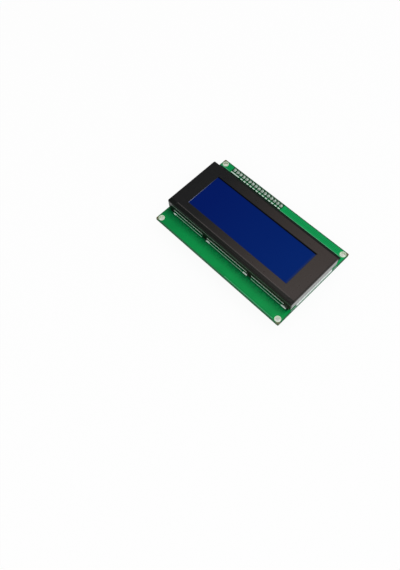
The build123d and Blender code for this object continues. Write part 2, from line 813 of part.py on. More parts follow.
def transistor_leads():
    width = transistor_body_size[0]
    t = transistor_lead_thickness
    level = -(transistor_standoff + transistor_body_size[2] / 2)
    reach = transistor_lead_reach
    outline = Polyline(
        (0, level - t), (reach / 2, level - t), (reach / 2, -t), (reach, -t), (reach, 0),
        (reach / 2 - t, 0), (reach / 2 - t, level), (0, level), close=True)
    lead = Rot(90, 0, 0) * extrude(make_face(outline), amount=transistor_lead_width / 2, both=True)
    spread = transistor_lead_spread / 2
    right = [Pos(transistor_x + width / 2, transistor_y + y, adapter_far) * lead for y in (-spread, spread)]
    left = Pos(transistor_x - width / 2, transistor_y, adapter_far) * Rot(0, 0, 180) * lead
    return group(right + [left])


# Solder lands of the three address pads
def address_lands():
    lands = []
    for x, y in land_places:
        for side in (-1, 1):
            land = Box(land_size, land_size, land_thickness, align=HANGING)
            lands.append(Pos(x, y + side * (land_size + land_gap) / 2, adapter_far) * land)
    return group(lands)


pieces = (
    main_board, hole_rings, bezel, front_polariser, front_glass, rear_glass, rear_polariser,
    contact_strips, backlight_frame, light_guide, diffuser_film, emitter_board, emitters,
    backlight_leads, lead_solder, driver_blobs, board_resistors, board_capacitors, board_chip_ends,
    header_strip, header_pins, header_joints_front, header_joints_rear, adapter_board,
    expander_chip, expander_leads, trimmer_body, trimmer_rotor, trimmer_pins, bus_header_blocks,
    bus_header_pins, jumper_header_blocks, jumper_header_pins, adapter_joints, adapter_resistors,
    adapter_capacitors, adapter_chip_ends, power_led, transistor_body, transistor_leads,
    address_lands,
)

os.makedirs("parts", exist_ok=True)
for piece in pieces:
    export_step(piece(), "parts/" + piece.__name__ + ".step")
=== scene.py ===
import math

import bmesh
import bpy
from mathutils import Matrix, Vector


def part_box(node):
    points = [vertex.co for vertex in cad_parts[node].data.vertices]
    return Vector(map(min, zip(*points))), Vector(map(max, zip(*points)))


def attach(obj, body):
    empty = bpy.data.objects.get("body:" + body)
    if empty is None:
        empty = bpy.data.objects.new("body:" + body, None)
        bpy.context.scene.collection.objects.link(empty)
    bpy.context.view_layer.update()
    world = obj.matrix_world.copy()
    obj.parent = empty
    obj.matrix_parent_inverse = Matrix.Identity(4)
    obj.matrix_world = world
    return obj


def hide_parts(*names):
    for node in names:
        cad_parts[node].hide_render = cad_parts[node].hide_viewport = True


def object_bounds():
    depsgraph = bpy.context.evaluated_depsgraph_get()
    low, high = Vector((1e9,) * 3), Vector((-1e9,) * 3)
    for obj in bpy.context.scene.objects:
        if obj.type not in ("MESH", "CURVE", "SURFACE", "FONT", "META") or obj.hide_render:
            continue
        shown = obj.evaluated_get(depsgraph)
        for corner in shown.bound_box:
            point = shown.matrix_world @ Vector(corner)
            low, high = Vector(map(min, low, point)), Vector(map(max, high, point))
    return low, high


# Looks of a character display module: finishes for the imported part, and the print, tracks,
# solder and resin that lie on it. Lengths are metres in the part's frame, with the display up.
# Places and sizes on the boards are written in millimetres and turned into metres by mm().

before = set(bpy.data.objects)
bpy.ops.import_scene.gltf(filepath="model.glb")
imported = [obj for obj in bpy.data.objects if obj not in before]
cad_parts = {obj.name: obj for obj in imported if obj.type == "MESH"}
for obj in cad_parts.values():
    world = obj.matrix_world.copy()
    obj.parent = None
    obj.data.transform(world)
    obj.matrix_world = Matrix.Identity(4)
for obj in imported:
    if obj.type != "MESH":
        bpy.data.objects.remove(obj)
CAD_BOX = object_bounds()

bl_info = {
    "name": "Character display module",
    "version": (1, 0, 0),
    "blender": (4, 5, 0),
    "location": "3D View > Sidebar > Display module",
    "description": "Finishes, print, solder and resin for a character display module",
    "category": "Object",
}

X, Y, Z = range(3)
MILLIMETRE = 0.001


def mm(*values):
    """Millimetres as metres."""
    return tuple(value * MILLIMETRE for value in values)


def tone(code):
    """A colour written as six hexadecimal digits, as the linear values that nodes read."""
    parts = [int(code[i:i + 2], 16) / 255 for i in (0, 2, 4)]
    return tuple(p / 12.92 if p <= 0.04045 else ((p + 0.055) / 1.055) ** 2.4 for p in parts)


# The body that every new piece rides on, and the faces of the part that the pieces lie on
MODULE = "module"
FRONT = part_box("main_board")[1][Z]
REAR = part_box("main_board")[0][Z]
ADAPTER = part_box("adapter_board")[0][Z]
CHIP_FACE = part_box("expander_chip")[0][Z]
LED_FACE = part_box("power_led")[0][Z]
ROTOR_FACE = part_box("trimmer_rotor")[0][Z]

# The photograph's camera, fitted to the corners, holes and window of the module
CAMERA_PLACE = mm(98.79, -118.93, 260.90)
CAMERA_RIGHT = (0.69869, 0.71361, -0.05082)
CAMERA_UP = (-0.63176, 0.64876, 0.42425)
CAMERA_AHEAD = (-0.33572, 0.26432, -0.90412)
CAMERA_LENS = 32.468
CAMERA_SENSOR = 36.0
CAMERA_NEAR = 0.01

# ------------------------------------------------------------------ display side, in millimetres

# Header row as the part has it, its oval pads and its solder: foot, top and height of each cone
PIN_COUNT = 16
PIN_PITCH = 2.54
FIRST_PIN_X = -38.8
PIN_XS = tuple(FIRST_PIN_X + i * PIN_PITCH for i in range(PIN_COUNT))
HEADER_Y = 27.9
PAD_Y = HEADER_Y + 0.05
PAD_SIZE = (1.6, 2.3)
JOINT_FRONT = (0.95, 0.55, 0.9)
JOINT_REAR = (0.84, 0.42, 1.1)

# Print as middle x, middle y, length, width: a bar beside the header, then a row of dashes
HEADER_BAR = (-36.65, 25.68, 6.7, 0.8)
HEADER_MARK_XS = tuple(round(-31.2 + 2.55 * i, 2) for i in range(13))
HEADER_MARK_LENGTH = 1.6

# Pale line along the long skirt as spans of x, and short print marks on it as x, y, length
SKIRT_LINE_Y = -20.14
SKIRT_LINE_WIDTH = 0.34
SKIRT_LINE_SPANS = ((-44.0, -19.6), (-15.4, 15.3), (19.6, 44.2))
SKIRT_MARKS = ((-42.4, -20.1, 2.0), (-14.6, -19.95, 2.7), (15.0, -20.0, 2.9), (44.0, -20.0, 3.1))
SKIRT_MARK_WIDTH = 0.85

# Edge of the copper fill: a line beside the bezel as spans of x, and a thin one on the low edge
FILL_LINE_Y = 25.2
FILL_LINE_WIDTH = 0.34
FILL_LINE_SPANS = ((-48.0, -40.7), (0.9, 47.0))
LOW_LINE = (26.0, -29.2, 36.4, 0.2)

# ------------------------------------------------------------------ rear side, in millimetres

# Rings round the bezel's feet: length, width and line
FOOT_PLACES = tuple((x, side * 19.45) for side in (-1, 1) for x in (-45.3, -17.55, 17.55, 45.3))
FOOT_RING = (4.5, 1.9, 0.3)

# Printed outlines round chips as place and turn, open ones the same, and two large ones
OUTLINED_CHIPS = (
    *((x, y, 0) for x in (-30.8, -34.4) for y in (3.4, 5.9, 8.4)),
    (-26.2, 3.6, 0), (36.0, -11.2, 90), (28.4, -11.0, 90))
CHIP_OUTLINE = (3.3, 2.0, 0.18)
OPEN_OUTLINES = ((-39.4, -0.9, 0), (-42.0, 2.6, 0), (32.6, -11.2, 90))
OPEN_CORNERS = ((-1.8, 1.05), (1.8, 1.05), (1.8, -1.05), (-1.8, -1.05))
OPEN_LINE = 0.2
REAR_OUTLINES = (
    ((44.8, 15.3), (38.7, 15.3), (38.7, 10.1), (44.8, 10.1), (44.8, 15.3)),
    ((-36.4, 10.0), (-28.9, 10.0), (-28.9, 1.9), (-36.4, 1.9), (-36.4, 10.0)))
REAR_LINE = 0.22

# Printed bars as middle x, middle y, length, width, turn
REAR_BARS = (
    (32.8, -15.6, 3.0, 0.5, 0), (23.8, -10.3, 0.5, 2.2, 0), (40.4, -10.8, 0.5, 2.2, 0),
    (46.9, 4.7, 1.6, 0.45, 0), (46.9, -4.2, 1.6, 0.45, 0), (-26.0, 1.6, 1.8, 0.4, 0),
    (-43.9, -23.6, 0.8, 0.8, 0), (-43.9, -25.2, 0.8, 0.8, 0), (35.3, 3.6, 1.1, 0.4, 40),
    (15.4, 11.2, 1.1, 0.4, 40), (12.3, -5.8, 1.1, 0.4, 40), (-10.3, 11.1, 1.1, 0.4, 40),
    (-18.0, -5.7, 1.1, 0.4, 40), (20.2, 24.8, 2.6, 0.5, -8), (4.8, 24.0, 2.0, 0.5, 0))

# Stripes without mask as middle x, middle y, length, width, and round test pads
BARE_STRIPES = tuple(
    (x + step, -11.2, 0.25, 2.1) for x in (34.3, 30.5) for step in (-0.45, 0.0, 0.45))
TEST_PADS = ((-40.0, -22.7), (-40.8, -25.0))
TEST_PAD = {"radius": 0.95, "hole": 0.42, "sides": 32}

# Resin blobs, and the printed ring round each
BLOB_PLACES = ((27.8, 0.6), (7.9, 8.0), (4.9, -8.9), (-17.7, 7.9), (-25.4, -8.9))
BLOB_DIAMETER = 11.0
BLOB_HEIGHT = 1.88
BLOB_RINGS = 12
BLOB_SIDES = 56
BLOB_PRINT = {"radius": 5.82, "hole": 5.62, "sides": BLOB_SIDES}

# Wide bands under the mask
REAR_BANDS = (
    ((39.3, 14.7), (27.2, 26.6), (12.5, 28.6), (7.2, 28.4)),
    ((42.2, 3.8), (35.6, 9.3), (28.5, 12.1), (20.8, 14.2), (13.6, 14.4)),
    ((-18.8, -20.8), (-27.4, -21.4), (-31.4, -22.0), (-38.4, -20.5), (-35.2, -10.4)),
    ((-7.9, 4.6), (-10.1, -2.7), (-20.0, -1.3)), ((46.6, 9.6), (42.0, 17.0), (40.5, 26.0)),
    ((46.6, -9.6), (41.5, -17.0), (22.0, -17.4), (14.0, -24.6), (-30.0, -26.6), (-39.4, -25.8)))
BAND_WIDTH = 1.0

# Fans of tracks from each blob to a row of small vias: x, y, way along Y, and the row's y.
# A track starts close to its neighbours, spreads at the bend and runs straight to the row.
FANS = (
    (27.8, 0.6, 1, 12.6), (7.9, 8.0, 1, 16.4), (4.9, -8.9, -1, -17.3),
    (-17.7, 7.9, 1, 16.3), (-25.4, -8.9, -1, -17.3))
FAN_COUNT = 11
FAN_PITCH = 0.95
FAN_GATHER = 0.72
FAN_START = 4.6
FAN_BEND = 6.2
FAN_STAGGER = 0.3

# Bundles of tracks between the blobs, and the rails along the low edge
LINKS = (
    ((22.2, 1.0), (17.0, 3.4), (13.3, 6.4)), ((2.2, 8.8), (-4.0, 10.4), (-12.0, 9.4)),
    ((-0.8, -8.4), (-9.0, -6.6), (-19.7, -8.4)), ((24.6, -4.2), (18.0, -9.4), (10.5, -9.2)))
LINK_COUNT = 5
LINK_PITCH = 0.62
LINK_GATHER = 0.25
RAILS = (
    ((10.6, -22.2), (-12.7, -21.5), (-15.7, -19.2)),
    ((-21.8, -22.9), (-32.6, -23.4), (-35.0, -21.9)))
TRACK_WIDTH = 0.24
RAIL_WIDTH = 0.3
LOOSE_VIAS = (
    (44.6, 20.6), (36.2, 17.9), (30.8, 21.7), (22.4, 18.8), (18.2, 22.9), (12.0, 20.1), (6.4, 21.8),
    (3.4, 25.6), (41.7, -1.2), (37.4, 5.9), (20.6, 8.9), (16.9, -2.7), (-1.2, 2.3), (-5.6, -4.4),
    (-14.2, -4.6), (-29.1, -2.4), (-33.7, -6.9), (-41.8, -6.2), (-44.6, 7.9), (-45.8, -12.7),
    (-20.4, -23.9), (-6.1, -24.6), (3.3, -25.7), (19.6, -21.5), (27.4, -24.9), (38.2, -21.8),
    (45.2, -24.1), (-12.8, -17.0), (14.7, -19.4), (-46.0, 16.4))
REAR_VIA = {"radius": 0.36, "hole": 0.17, "sides": 10}

# ------------------------------------------------------------------ adapter board, in millimetres

ADAPTER_LINES = (
    ((0.5, 26.05), (-40.35, 26.05), (-40.35, 15.0)), ((-1.7, 17.4), (-1.7, 23.3)),
    ((-23.5, 25.0), (-16.3, 25.0)), ((-23.5, 13.6), (-16.3, 13.6)),
    ((-35.7, 25.4), (-35.7, 15.5), (-39.9, 15.5)), ((-13.3, 12.6), (-13.3, 25.0)))
ADAPTER_LINE_WIDTH = 0.2
ADAPTER_BARS = (
    (-1.0, 24.35, 1.6, 0.5, 0), (-3.8, 11.35, 2.2, 0.55, 0),
    *((x, 14.75, 0.9, 0.35, 0) for x in (-28.9, -31.3, -33.7)),
    (-9.3, 10.75, 1.4, 0.35, 0), (-14.9, 24.2, 0.55, 0.55, 0), (-4.4, 22.9, 1.5, 0.3, 0))
ADAPTER_OUTLINES = (
    (-31.6, 20.9, 7.6, 7.8), *((x, 12.4, 1.9, 3.1) for x in (-29.2, -31.6, -34.0)),
    *((x, 11.5, 2.7, 1.5) for x in (-12.6, -17.2, -21.2, -25.2)),
    *((x, y, 1.5, 2.6) for y in (20.6, 23.4) for x in (-8.4, -10.4)), (-7.3, 15.5, 8.1, 5.6))
ADAPTER_OUTLINE_WIDTH = 0.16
ADAPTER_TRACKS = (
    ((-38.8, 27.0), (-38.8, 25.2)), ((-33.7, 27.0), (-33.7, 25.6), (-30.0, 25.3)),
    ((-28.6, 27.0), (-26.0, 24.6), (-26.0, 23.7)), ((-26.1, 27.0), (-25.2, 25.6), (-25.2, 22.5)),
    ((-18.5, 27.0), (-14.2, 23.5)), ((-15.9, 27.0), (-12.4, 24.0), (-12.4, 22.2)),
    ((-13.4, 27.0), (-11.6, 25.4), (-11.6, 21.0)),
    ((-36.3, 16.7), (-34.6, 16.0), (-26.4, 16.0), (-25.4, 16.2)),
    ((-36.3, 19.3), (-35.0, 18.4), (-35.0, 17.0), (-26.4, 17.0)), ((-2.4, 19.3), (-5.2, 20.0)),
    ((-2.4, 21.9), (-5.2, 21.4)), ((-14.2, 17.4), (-11.4, 17.3)), ((-14.2, 16.1), (-11.4, 15.5)),
    ((-14.2, 14.9), (-11.4, 13.7)))
ADAPTER_TRACK_WIDTH = 0.4
ADAPTER_VIAS = (
    (-30.0, 25.3), (-38.9, 13.0), (-36.4, 12.0), (-26.9, 14.9), (-12.5, 20.2), (-12.3, 18.7),
    (-5.2, 18.0), (-2.7, 15.6), (-0.9, 12.6), (-19.4, 12.6), (-23.4, 12.7), (-6.4, 25.0),
    (-12.4, 24.9), (-37.9, 26.6))
ADAPTER_VIA = {"radius": 0.42, "hole": 0.18, "sides": 14}
CHIP_DIMPLE = (-17.3, 23.3)
DIMPLE_RING = {"radius": 0.5, "hole": 0.36, "sides": 28}
LED_PLACE = (-4.4, 24.3)
LED_RINGS = ((0.36, 0.0), (0.36, 0.1), (0.33, 0.18), (0.26, 0.25), (0.15, 0.3), (0.05, 0.31))
LED_SIDES = 24

# ------------------------------------------------------------------ finishes and stage, in metres

# How far pads, rings and the chip's dimple stand out
PAD_RISE = 0.00004
RING_RISE = 0.00003
DIMPLE_RISE = 0.00001
BAND_SHARE = 0.6

# Zones of the main board's mask, as spans along X and along Y. The low, bezel and header shade
# zones are painted shadow, the bare span and the zone between the header pads are mask over bare
# board with painted shade, and the strip at the right end is painted light.
TICK_STRIP = ((0.003, 0.044), (0.0266, 0.0294))
BARE_SHADE_X = (-0.0484, 0.0470)
BARE_SHADE_TOP = 0.0247
HEADER_BARE_SHADE = ((-0.0405, 0.0009), (0.0261, 0.0300))
LOW_SHADE = ((0.0, 0.0442), (-0.02855, -0.0283))
BEZEL_SHADE = ((-0.0482, 0.0472), (0.02015, 0.02505))
HEADER_SHADE = ((-0.0402, 0.0006), (0.0242, 0.0257))
RIGHT_PAINTED_LIGHT = ((0.0484, 0.0495), (-0.0192, 0.0192))

# Zones of the bezel's paint: the window's lip in painted shade, its far cut in bare steel with a
# painted highlight, and the bead along the near side with a painted highlight
LIP_ZONE = ((-0.0384, 0.0384), (0.0126, 0.0131))
CUT_ZONE = ((-0.039, -0.037), (-0.0125, 0.0128))
BEAD_ZONE = ((-0.0425, 0.0447), (-0.01715, -0.01675))
CREASE_HEIGHT = (0.0064, 0.0070)

# Pale rim of the long skirts, bare steel with a painted highlight: its height, and its lengths
# along X in millimetres
SKIRT_RIM = (0.00235, 0.0032)
SKIRT_RIM_SPANS = ((-43.4, -19.4), (-15.7, 15.7), (19.4, 43.4))

# Heights between which the painted highlight on the header pins gives way to darker tips, above and
# below
PIN_HIGHLIGHT_ENDS = ((0.0022, 0.0026), (-0.0086, -0.0090))

# How soft the edge of a zone is, how rough a matt place is, and painted shade in a slot of a
# moulded face: where it starts below the face's level, over what height, and how dark
SOFT = 0.00012
MATT = 0.7
SLOT_START = 0.00006
SLOT_FADE = 0.00012
SLOT_SHADE = 0.92

# Light: the room for matt surfaces, its ceiling in reflections, and lamps by place, size, energy
ROOM_LIGHT = 0.56
CEILING_DIM = 0.18
CEILING_BRIGHT = 0.7
LAMPS = (("overhead", (0.29, 0.17, 1.09), 1.2, 4.5), ("side", (0.54, -0.72, 0.78), 0.3, 1.7))

# Floor: how white the eye sees it, and the part of it under the module where a shadow is painted
FLOOR_SIZE = 6.0
FLOOR_LIFT = 0.93
FLOOR_SHADE = 0.6
SHADE_SPANS = ((-0.0542, 0.0458), (-0.0253, 0.0352))
SHADE_EDGE = 0.001


# ------------------------------------------------------------------ sizes and colours

# What every colour and every length on the panel share
COLOUR = {"subtype": "COLOR", "size": 3, "min": 0, "max": 1}
LENGTH = {"subtype": "DISTANCE", "unit": "LENGTH", "min": 0}


class BoardLooks(bpy.types.PropertyGroup):
    """Colours of the main board and what is printed on it."""
    mask: bpy.props.FloatVectorProperty(
        name="Solder mask", description="Green of the display side of the main board",
        default=tone("009a4b"), **COLOUR)
    mask_rear: bpy.props.FloatVectorProperty(
        name="Solder mask, rear", description="Green of the rear side of the main board",
        default=tone("00a75a"), **COLOUR)
    mask_bright: bpy.props.FloatVectorProperty(
        name="Solder mask, header side", description="Brighter green along the header edge",
        default=tone("00ae5c"), **COLOUR)
    # This green is also laid as painted shade beside the bezel, by the header and along the low
    # edge
    mask_dark: bpy.props.FloatVectorProperty(
        name="Mask over bare board", description="Darker green where no copper lies under the mask",
        default=tone("005a30"), **COLOUR)
    cut_edge: bpy.props.FloatVectorProperty(
        name="Cut edge", description="Colour of the cut glass-fibre edge",
        default=tone("1f5a38"), **COLOUR)
    bare_corner: bpy.props.FloatVectorProperty(
        name="Bare corner", description="Laminate without mask at the tips of the board",
        default=tone("6c6a50"), **COLOUR)
    ink: bpy.props.FloatVectorProperty(
        name="Ink", description="Colour of the printed marks",
        default=tone("e2f7ea"), **COLOUR)
    ink_thickness: bpy.props.FloatProperty(
        name="Ink thickness", description="How far the print stands on the mask",
        default=0.00002, **LENGTH)
    track_thickness: bpy.props.FloatProperty(
        name="Track thickness", description="How far a track stands under the mask",
        default=0.000012, **LENGTH)


class DisplayLooks(bpy.types.PropertyGroup):
    """Colours of the bezel and the display cell."""
    paint: bpy.props.FloatVectorProperty(
        name="Bezel paint", description="Satin black paint of the bezel",
        default=tone("121213"), **COLOUR)
    # Painted reflection: the bezel paint is blended to this brown towards +X
    paint_sheen: bpy.props.FloatVectorProperty(
        name="Bezel paint, warm", description="Paint where its satin looks brown",
        default=tone("322824"), **COLOUR)
    # Bare steel with a painted highlight, laid along the lower rim of the long skirts
    rim_steel_highlight: bpy.props.FloatVectorProperty(
        name="Worn edge", description="Bare steel along the lower rim of the long skirts",
        default=tone("cfe0d4"), **COLOUR)
    foot: bpy.props.FloatVectorProperty(
        name="Feet", description="Tinned steel of the twisted feet behind the board",
        default=tone("d8b68c"), **COLOUR)
    film: bpy.props.FloatVectorProperty(
        name="Display film", description="Blue of the unlit display",
        default=tone("001a66"), **COLOUR)
    # Painted reflection: the film is blended to this lighter blue towards +X
    film_sheen: bpy.props.FloatVectorProperty(
        name="Display film, light", description="Blue of the unlit display where it is lighter",
        default=tone("002570"), **COLOUR)
    frame_white: bpy.props.FloatVectorProperty(
        name="Backlight frame", description="White of the moulded backlight frame",
        default=tone("fafffc"), **COLOUR)


class AdapterLooks(bpy.types.PropertyGroup):
    """Colours of the adapter board and its parts."""
    mask: bpy.props.FloatVectorProperty(
        name="Black mask", description="Black solder mask of the adapter board",
        default=tone("16181a"), **COLOUR)
    trimmer: bpy.props.FloatVectorProperty(
        name="Trimmer", description="Blue of the contrast trimmer",
        default=tone("3f8fe8"), **COLOUR)
    chip: bpy.props.FloatVectorProperty(
        name="Chip body", description="Moulded body of the expander chip",
        default=tone("2b2926"), **COLOUR)


# ------------------------------------------------------------------ materials

class Graph:
    """The nodes of a material or of the world, added and linked by plain calls."""

    def __init__(self, tree):
        self.tree = tree

    def node(self, kind, inputs=(), **settings):
        """A new node with its settings, and its inputs by name or number."""
        made = self.tree.nodes.new(kind)
        for key, value in settings.items():
            setattr(made, key, value)
        for key, value in dict(inputs).items():
            self.feed(made.inputs[key], value)
        return made

    def feed(self, socket, value):
        """Link a socket to another one, or set it to a number or a colour."""
        if isinstance(value, bpy.types.NodeSocket):
            self.tree.links.new(value, socket)
        elif socket.type == "RGBA":
            socket.default_value = (*(tone(value) if isinstance(value, str) else value), 1.0)
        else:
            socket.default_value = value

    def calculate(self, operation, *values):
        """A Math node."""
        inputs = dict(enumerate(values))
        return self.node("ShaderNodeMath", inputs, operation=operation).outputs[0]

    def plus(self, first, second):
        return self.calculate("ADD", first, second)

    def times(self, first, *others):
        for other in others:
            first = self.calculate("MULTIPLY", first, other)
        return first

    def most(self, first, *others):
        for other in others:
            first = self.calculate("MAXIMUM", first, other)
        return first

    def unsigned(self, value):
        return self.calculate("ABSOLUTE", value)

    def climb(self, value, start, end, low=0.0, high=1.0):
        """From a low to a high level as a value goes from a start to an end."""
        inputs = {"Value": value, "From Min": start, "From Max": end, "To Min": low, "To Max": high}
        return self.node("ShaderNodeMapRange", inputs).outputs[0]

    def between(self, amount, first, second):
        """A number that goes from the first to the second."""
        return self.node("ShaderNodeMix", {0: amount, 2: first, 3: second}).outputs[0]

    def steps(self, value, *stops):
        """A ramp of grey through stops of position and level."""
        made = self.node("ShaderNodeValToRGB", {"Fac": value})
        for element, (position, level) in zip(made.color_ramp.elements, stops):
            element.position = position
            element.color = (level, level, level, 1.0)
        return made.outputs["Color"]

    def blend(self, amount, first, second):
        """A colour that goes from the first to the second."""
        inputs = {"Factor": amount, 6: first, 7: second}
        return self.node("ShaderNodeMix", inputs, data_type="RGBA").outputs[2]

    def layers(self, base, *coats):
        """Coats of colour over a base, one on the other, each where its mask says."""
        for mask, colour in coats:
            base = self.blend(mask, base, colour)
        return base


class Finish(Graph):
    """A procedural material on Object coordinates."""

    def __init__(self, name, roughness=0.5, metallic=0.0, specular=0.5):
        self.material = bpy.data.materials.new(name)
        self.material.use_nodes = True
        super().__init__(self.material.node_tree)
        self.shader = self.tree.nodes["Principled BSDF"]
        self.surface("Roughness", roughness)
        self.surface("Metallic", metallic)
        self.surface("Specular IOR Level", specular)
        # A point's place in the part's frame, its three measures, and which way it faces
        place = self.node("ShaderNodeTexCoord").outputs
        self.place = place["Object"]
        self.axes = self.node("ShaderNodeSeparateXYZ", {"Vector": self.place}).outputs
        self.facing = self.node("ShaderNodeSeparateXYZ", {"Vector": place["Normal"]}).outputs

    def surface(self, name, value):
        """Set or link one input of the shader."""
        self.feed(self.shader.inputs[name], value)

    def colour(self, value):
        self.surface("Base Color", value)

    def rough(self, value, low, high, dull=None):
        """Roughness that wanders between two levels, and is duller where a mask says so."""
        level = self.climb(value, 0.0, 1.0, low, high)
        if dull is not None:
            level = self.most(level, self.times(dull, MATT))
        self.surface("Roughness", level)

    def relief(self, height, distance):
        """Bump of a depth in metres."""
        bump = self.node("ShaderNodeBump", {"Height": height, "Distance": distance})
        self.surface("Normal", bump.outputs[0])

    def stretched(self, scale):
        """Object coordinates, scaled differently along X, Y and Z."""
        return self.node("ShaderNodeMapping", {"Vector": self.place, "Scale": scale}).outputs[0]

    def noise(self, scale, detail=3.0, vector=None):
        inputs = {"Vector": vector or self.place, "Scale": scale, "Detail": detail,
                  "Roughness": 0.55}
        return self.node("ShaderNodeTexNoise", inputs).outputs["Fac"]

    def cells(self, scale):
        inputs = {"Vector": self.place, "Scale": scale}
        return self.node("ShaderNodeTexVoronoi", inputs).outputs["Distance"]

    def weave(self, scale, direction):
        inputs = {"Vector": self.place, "Scale": scale, "Distortion": 0.4}
        return self.node("ShaderNodeTexWave", inputs, bands_direction=direction).outputs["Fac"]

    def along(self, axis, start, end):
        """0 to 1 along one axis of the part."""
        return self.climb(self.axes[axis], start, end)

    def band(self, axis, low, high, soft=SOFT):
        """1 between two levels along one axis of the part, 0 beyond them."""
        return self.times(self.along(axis, low - soft, low + soft),
                          self.along(axis, high + soft, high - soft))

    def area(self, x, y, soft=SOFT):
        """1 inside a rectangle on the board, given by its two spans."""
        return self.times(self.band(X, *x, soft), self.band(Y, *y, soft))


def solder_mask(looks):
    """Green mask: copper fill round the edges, bare board with painted shade by the bezel, cut
    edges and tips.
    """
    made = Finish("green_mask", roughness=0.35, specular=0.1)
    dark = looks.mask_dark
    fill = made.noise(140.0, detail=4.0)
    flow = made.noise(900.0, detail=2.0)
    reach_x, reach_y = made.unsigned(made.axes[X]), made.unsigned(made.axes[Y])

    # The display side: brighter towards the header, dotted and dark towards the bezel, where the
    # dark is mask over bare board and painted shade
    ticks = made.steps(made.weave(300.0, "X"), (0.45, 0.0), (0.7, 0.4))
    dots = made.steps(made.cells(1500.0), (0.3, 1.0), (0.6, 0.4))
    fade = made.times(made.along(Y, -0.0254, -0.0214), dots)
    # Mask over bare board and painted shade along the bezel, fading out in dots on the near side
    bare = made.most(made.band(Y, -0.0212, BARE_SHADE_TOP, 0.0002),
                     made.times(fade, made.band(Y, -0.03, BARE_SHADE_TOP, 0.0002)))
    margin = made.most(made.climb(reach_x, 0.0483, 0.0486), made.climb(reach_y, 0.0291, 0.0295))
    # Painted shadow of the bezel on the board beside it
    beside = made.times(made.band(Y, *BEZEL_SHADE[1], 0.00015),
                        made.band(X, *BEZEL_SHADE[0], 0.0003))
    front = made.layers(
        made.blend(made.along(Y, -0.024, 0.026), looks.mask, looks.mask_bright),
        (made.times(made.along(X, -0.02, -0.05), 0.35), dark),
        (made.times(ticks, made.area(*TICK_STRIP)), dark),
        # Bare board and painted shade beside the bezel
        (made.times(bare, made.band(X, *BARE_SHADE_X, 0.0003)), dark),
        # Between the header pads: mask over bare board, and painted shade of the pins
        (made.times(made.area(*HEADER_BARE_SHADE, 0.0003), 0.92), "003c1f"),
        (made.times(margin, 0.8), "2d6146"),
        # Painted shade along the low edge
        (made.times(made.area(*LOW_SHADE), 0.5), dark),
        # Painted shadow, near black, beside the bezel and by the header
        (made.most(beside, made.area(*HEADER_SHADE)), "00200f"),
        # Painted light on the board along the right end
        (made.times(made.area(*RIGHT_PAINTED_LIGHT), 0.8), "8fb5a5"),
        (made.steps(fill, (0.35, 0.0), (0.7, 0.12)), dark))
    rear = made.blend(made.steps(fill, (0.35, 0.0), (0.7, 0.3)), looks.mask_rear, dark)

    # The cut edge shows the glass fibre, and the tips of the board are bare
    edge = made.climb(made.unsigned(made.facing[Z]), 0.7, 0.3)
    fibre = made.noise(1.0, vector=made.stretched((900.0, 900.0, 9000.0)))
    cut = made.blend(made.steps(fibre, (0.4, 0.0), (0.7, 0.6)), looks.cut_edge, "4b8560")
    tips = made.climb(made.plus(reach_x, reach_y), 0.0762, 0.0770)
    made.colour(made.layers(
        made.blend(made.climb(made.facing[Z], -0.05, 0.05), rear, front),
        (tips, looks.bare_corner), (edge, cut)))
    made.rough(flow, 0.26, 0.4, dull=edge)
    cloth = made.plus(made.weave(560.0, "X"), made.weave(560.0, "Y"))
    made.relief(made.plus(cloth, flow), 0.000004)
    return made.material


def masked_track(name, colour):
    """Mask over a track: the same green, a little apart from the fill round it."""
    made = Finish(name, roughness=0.34, specular=0.2)
    cloud = made.steps(made.noise(700.0), (0.3, 0.0), (0.8, 0.35))
    made.colour(made.blend(cloud, colour, "00703a"))
    made.rough(made.noise(1500.0), 0.28, 0.42)
    made.relief(made.noise(2600.0), 0.000003)
    return made.material


def ink(name, colour):
    """Screen-printed ink, chalky and a little uneven."""
    made = Finish(name, roughness=0.7, specular=0.15)
    chalk = made.steps(made.noise(2200.0), (0.35, 0.0), (0.8, 0.3))
    made.colour(made.blend(chalk, colour, "9fb8a8"))
    made.rough(made.noise(1800.0), 0.6, 0.8)
    made.relief(made.noise(4200.0), 0.000004)
    return made.material


def tin(name, light, dark, rough, metal=1.0, tips=None):
    """Tinned metal or solder, bright with dull grains; on a pin the bright tone is a painted
    highlight that gives way to darker tips.
    """
    made = Finish(name, metallic=metal)
    grains = made.steps(made.cells(2600.0), (0.1, 0.0), (0.6, 1.0))
    colour = made.blend(grains, light, dark)
    if tips:
        past_highlight = made.most(*(made.along(Z, *span) for span in PIN_HIGHLIGHT_ENDS))
        colour = made.blend(past_highlight, colour, made.blend(grains, *tips))
    made.colour(colour)
    made.rough(made.noise(1700.0), *rough)
    made.relief(made.noise(1500.0, detail=2.0), 0.000012)
    return made.material


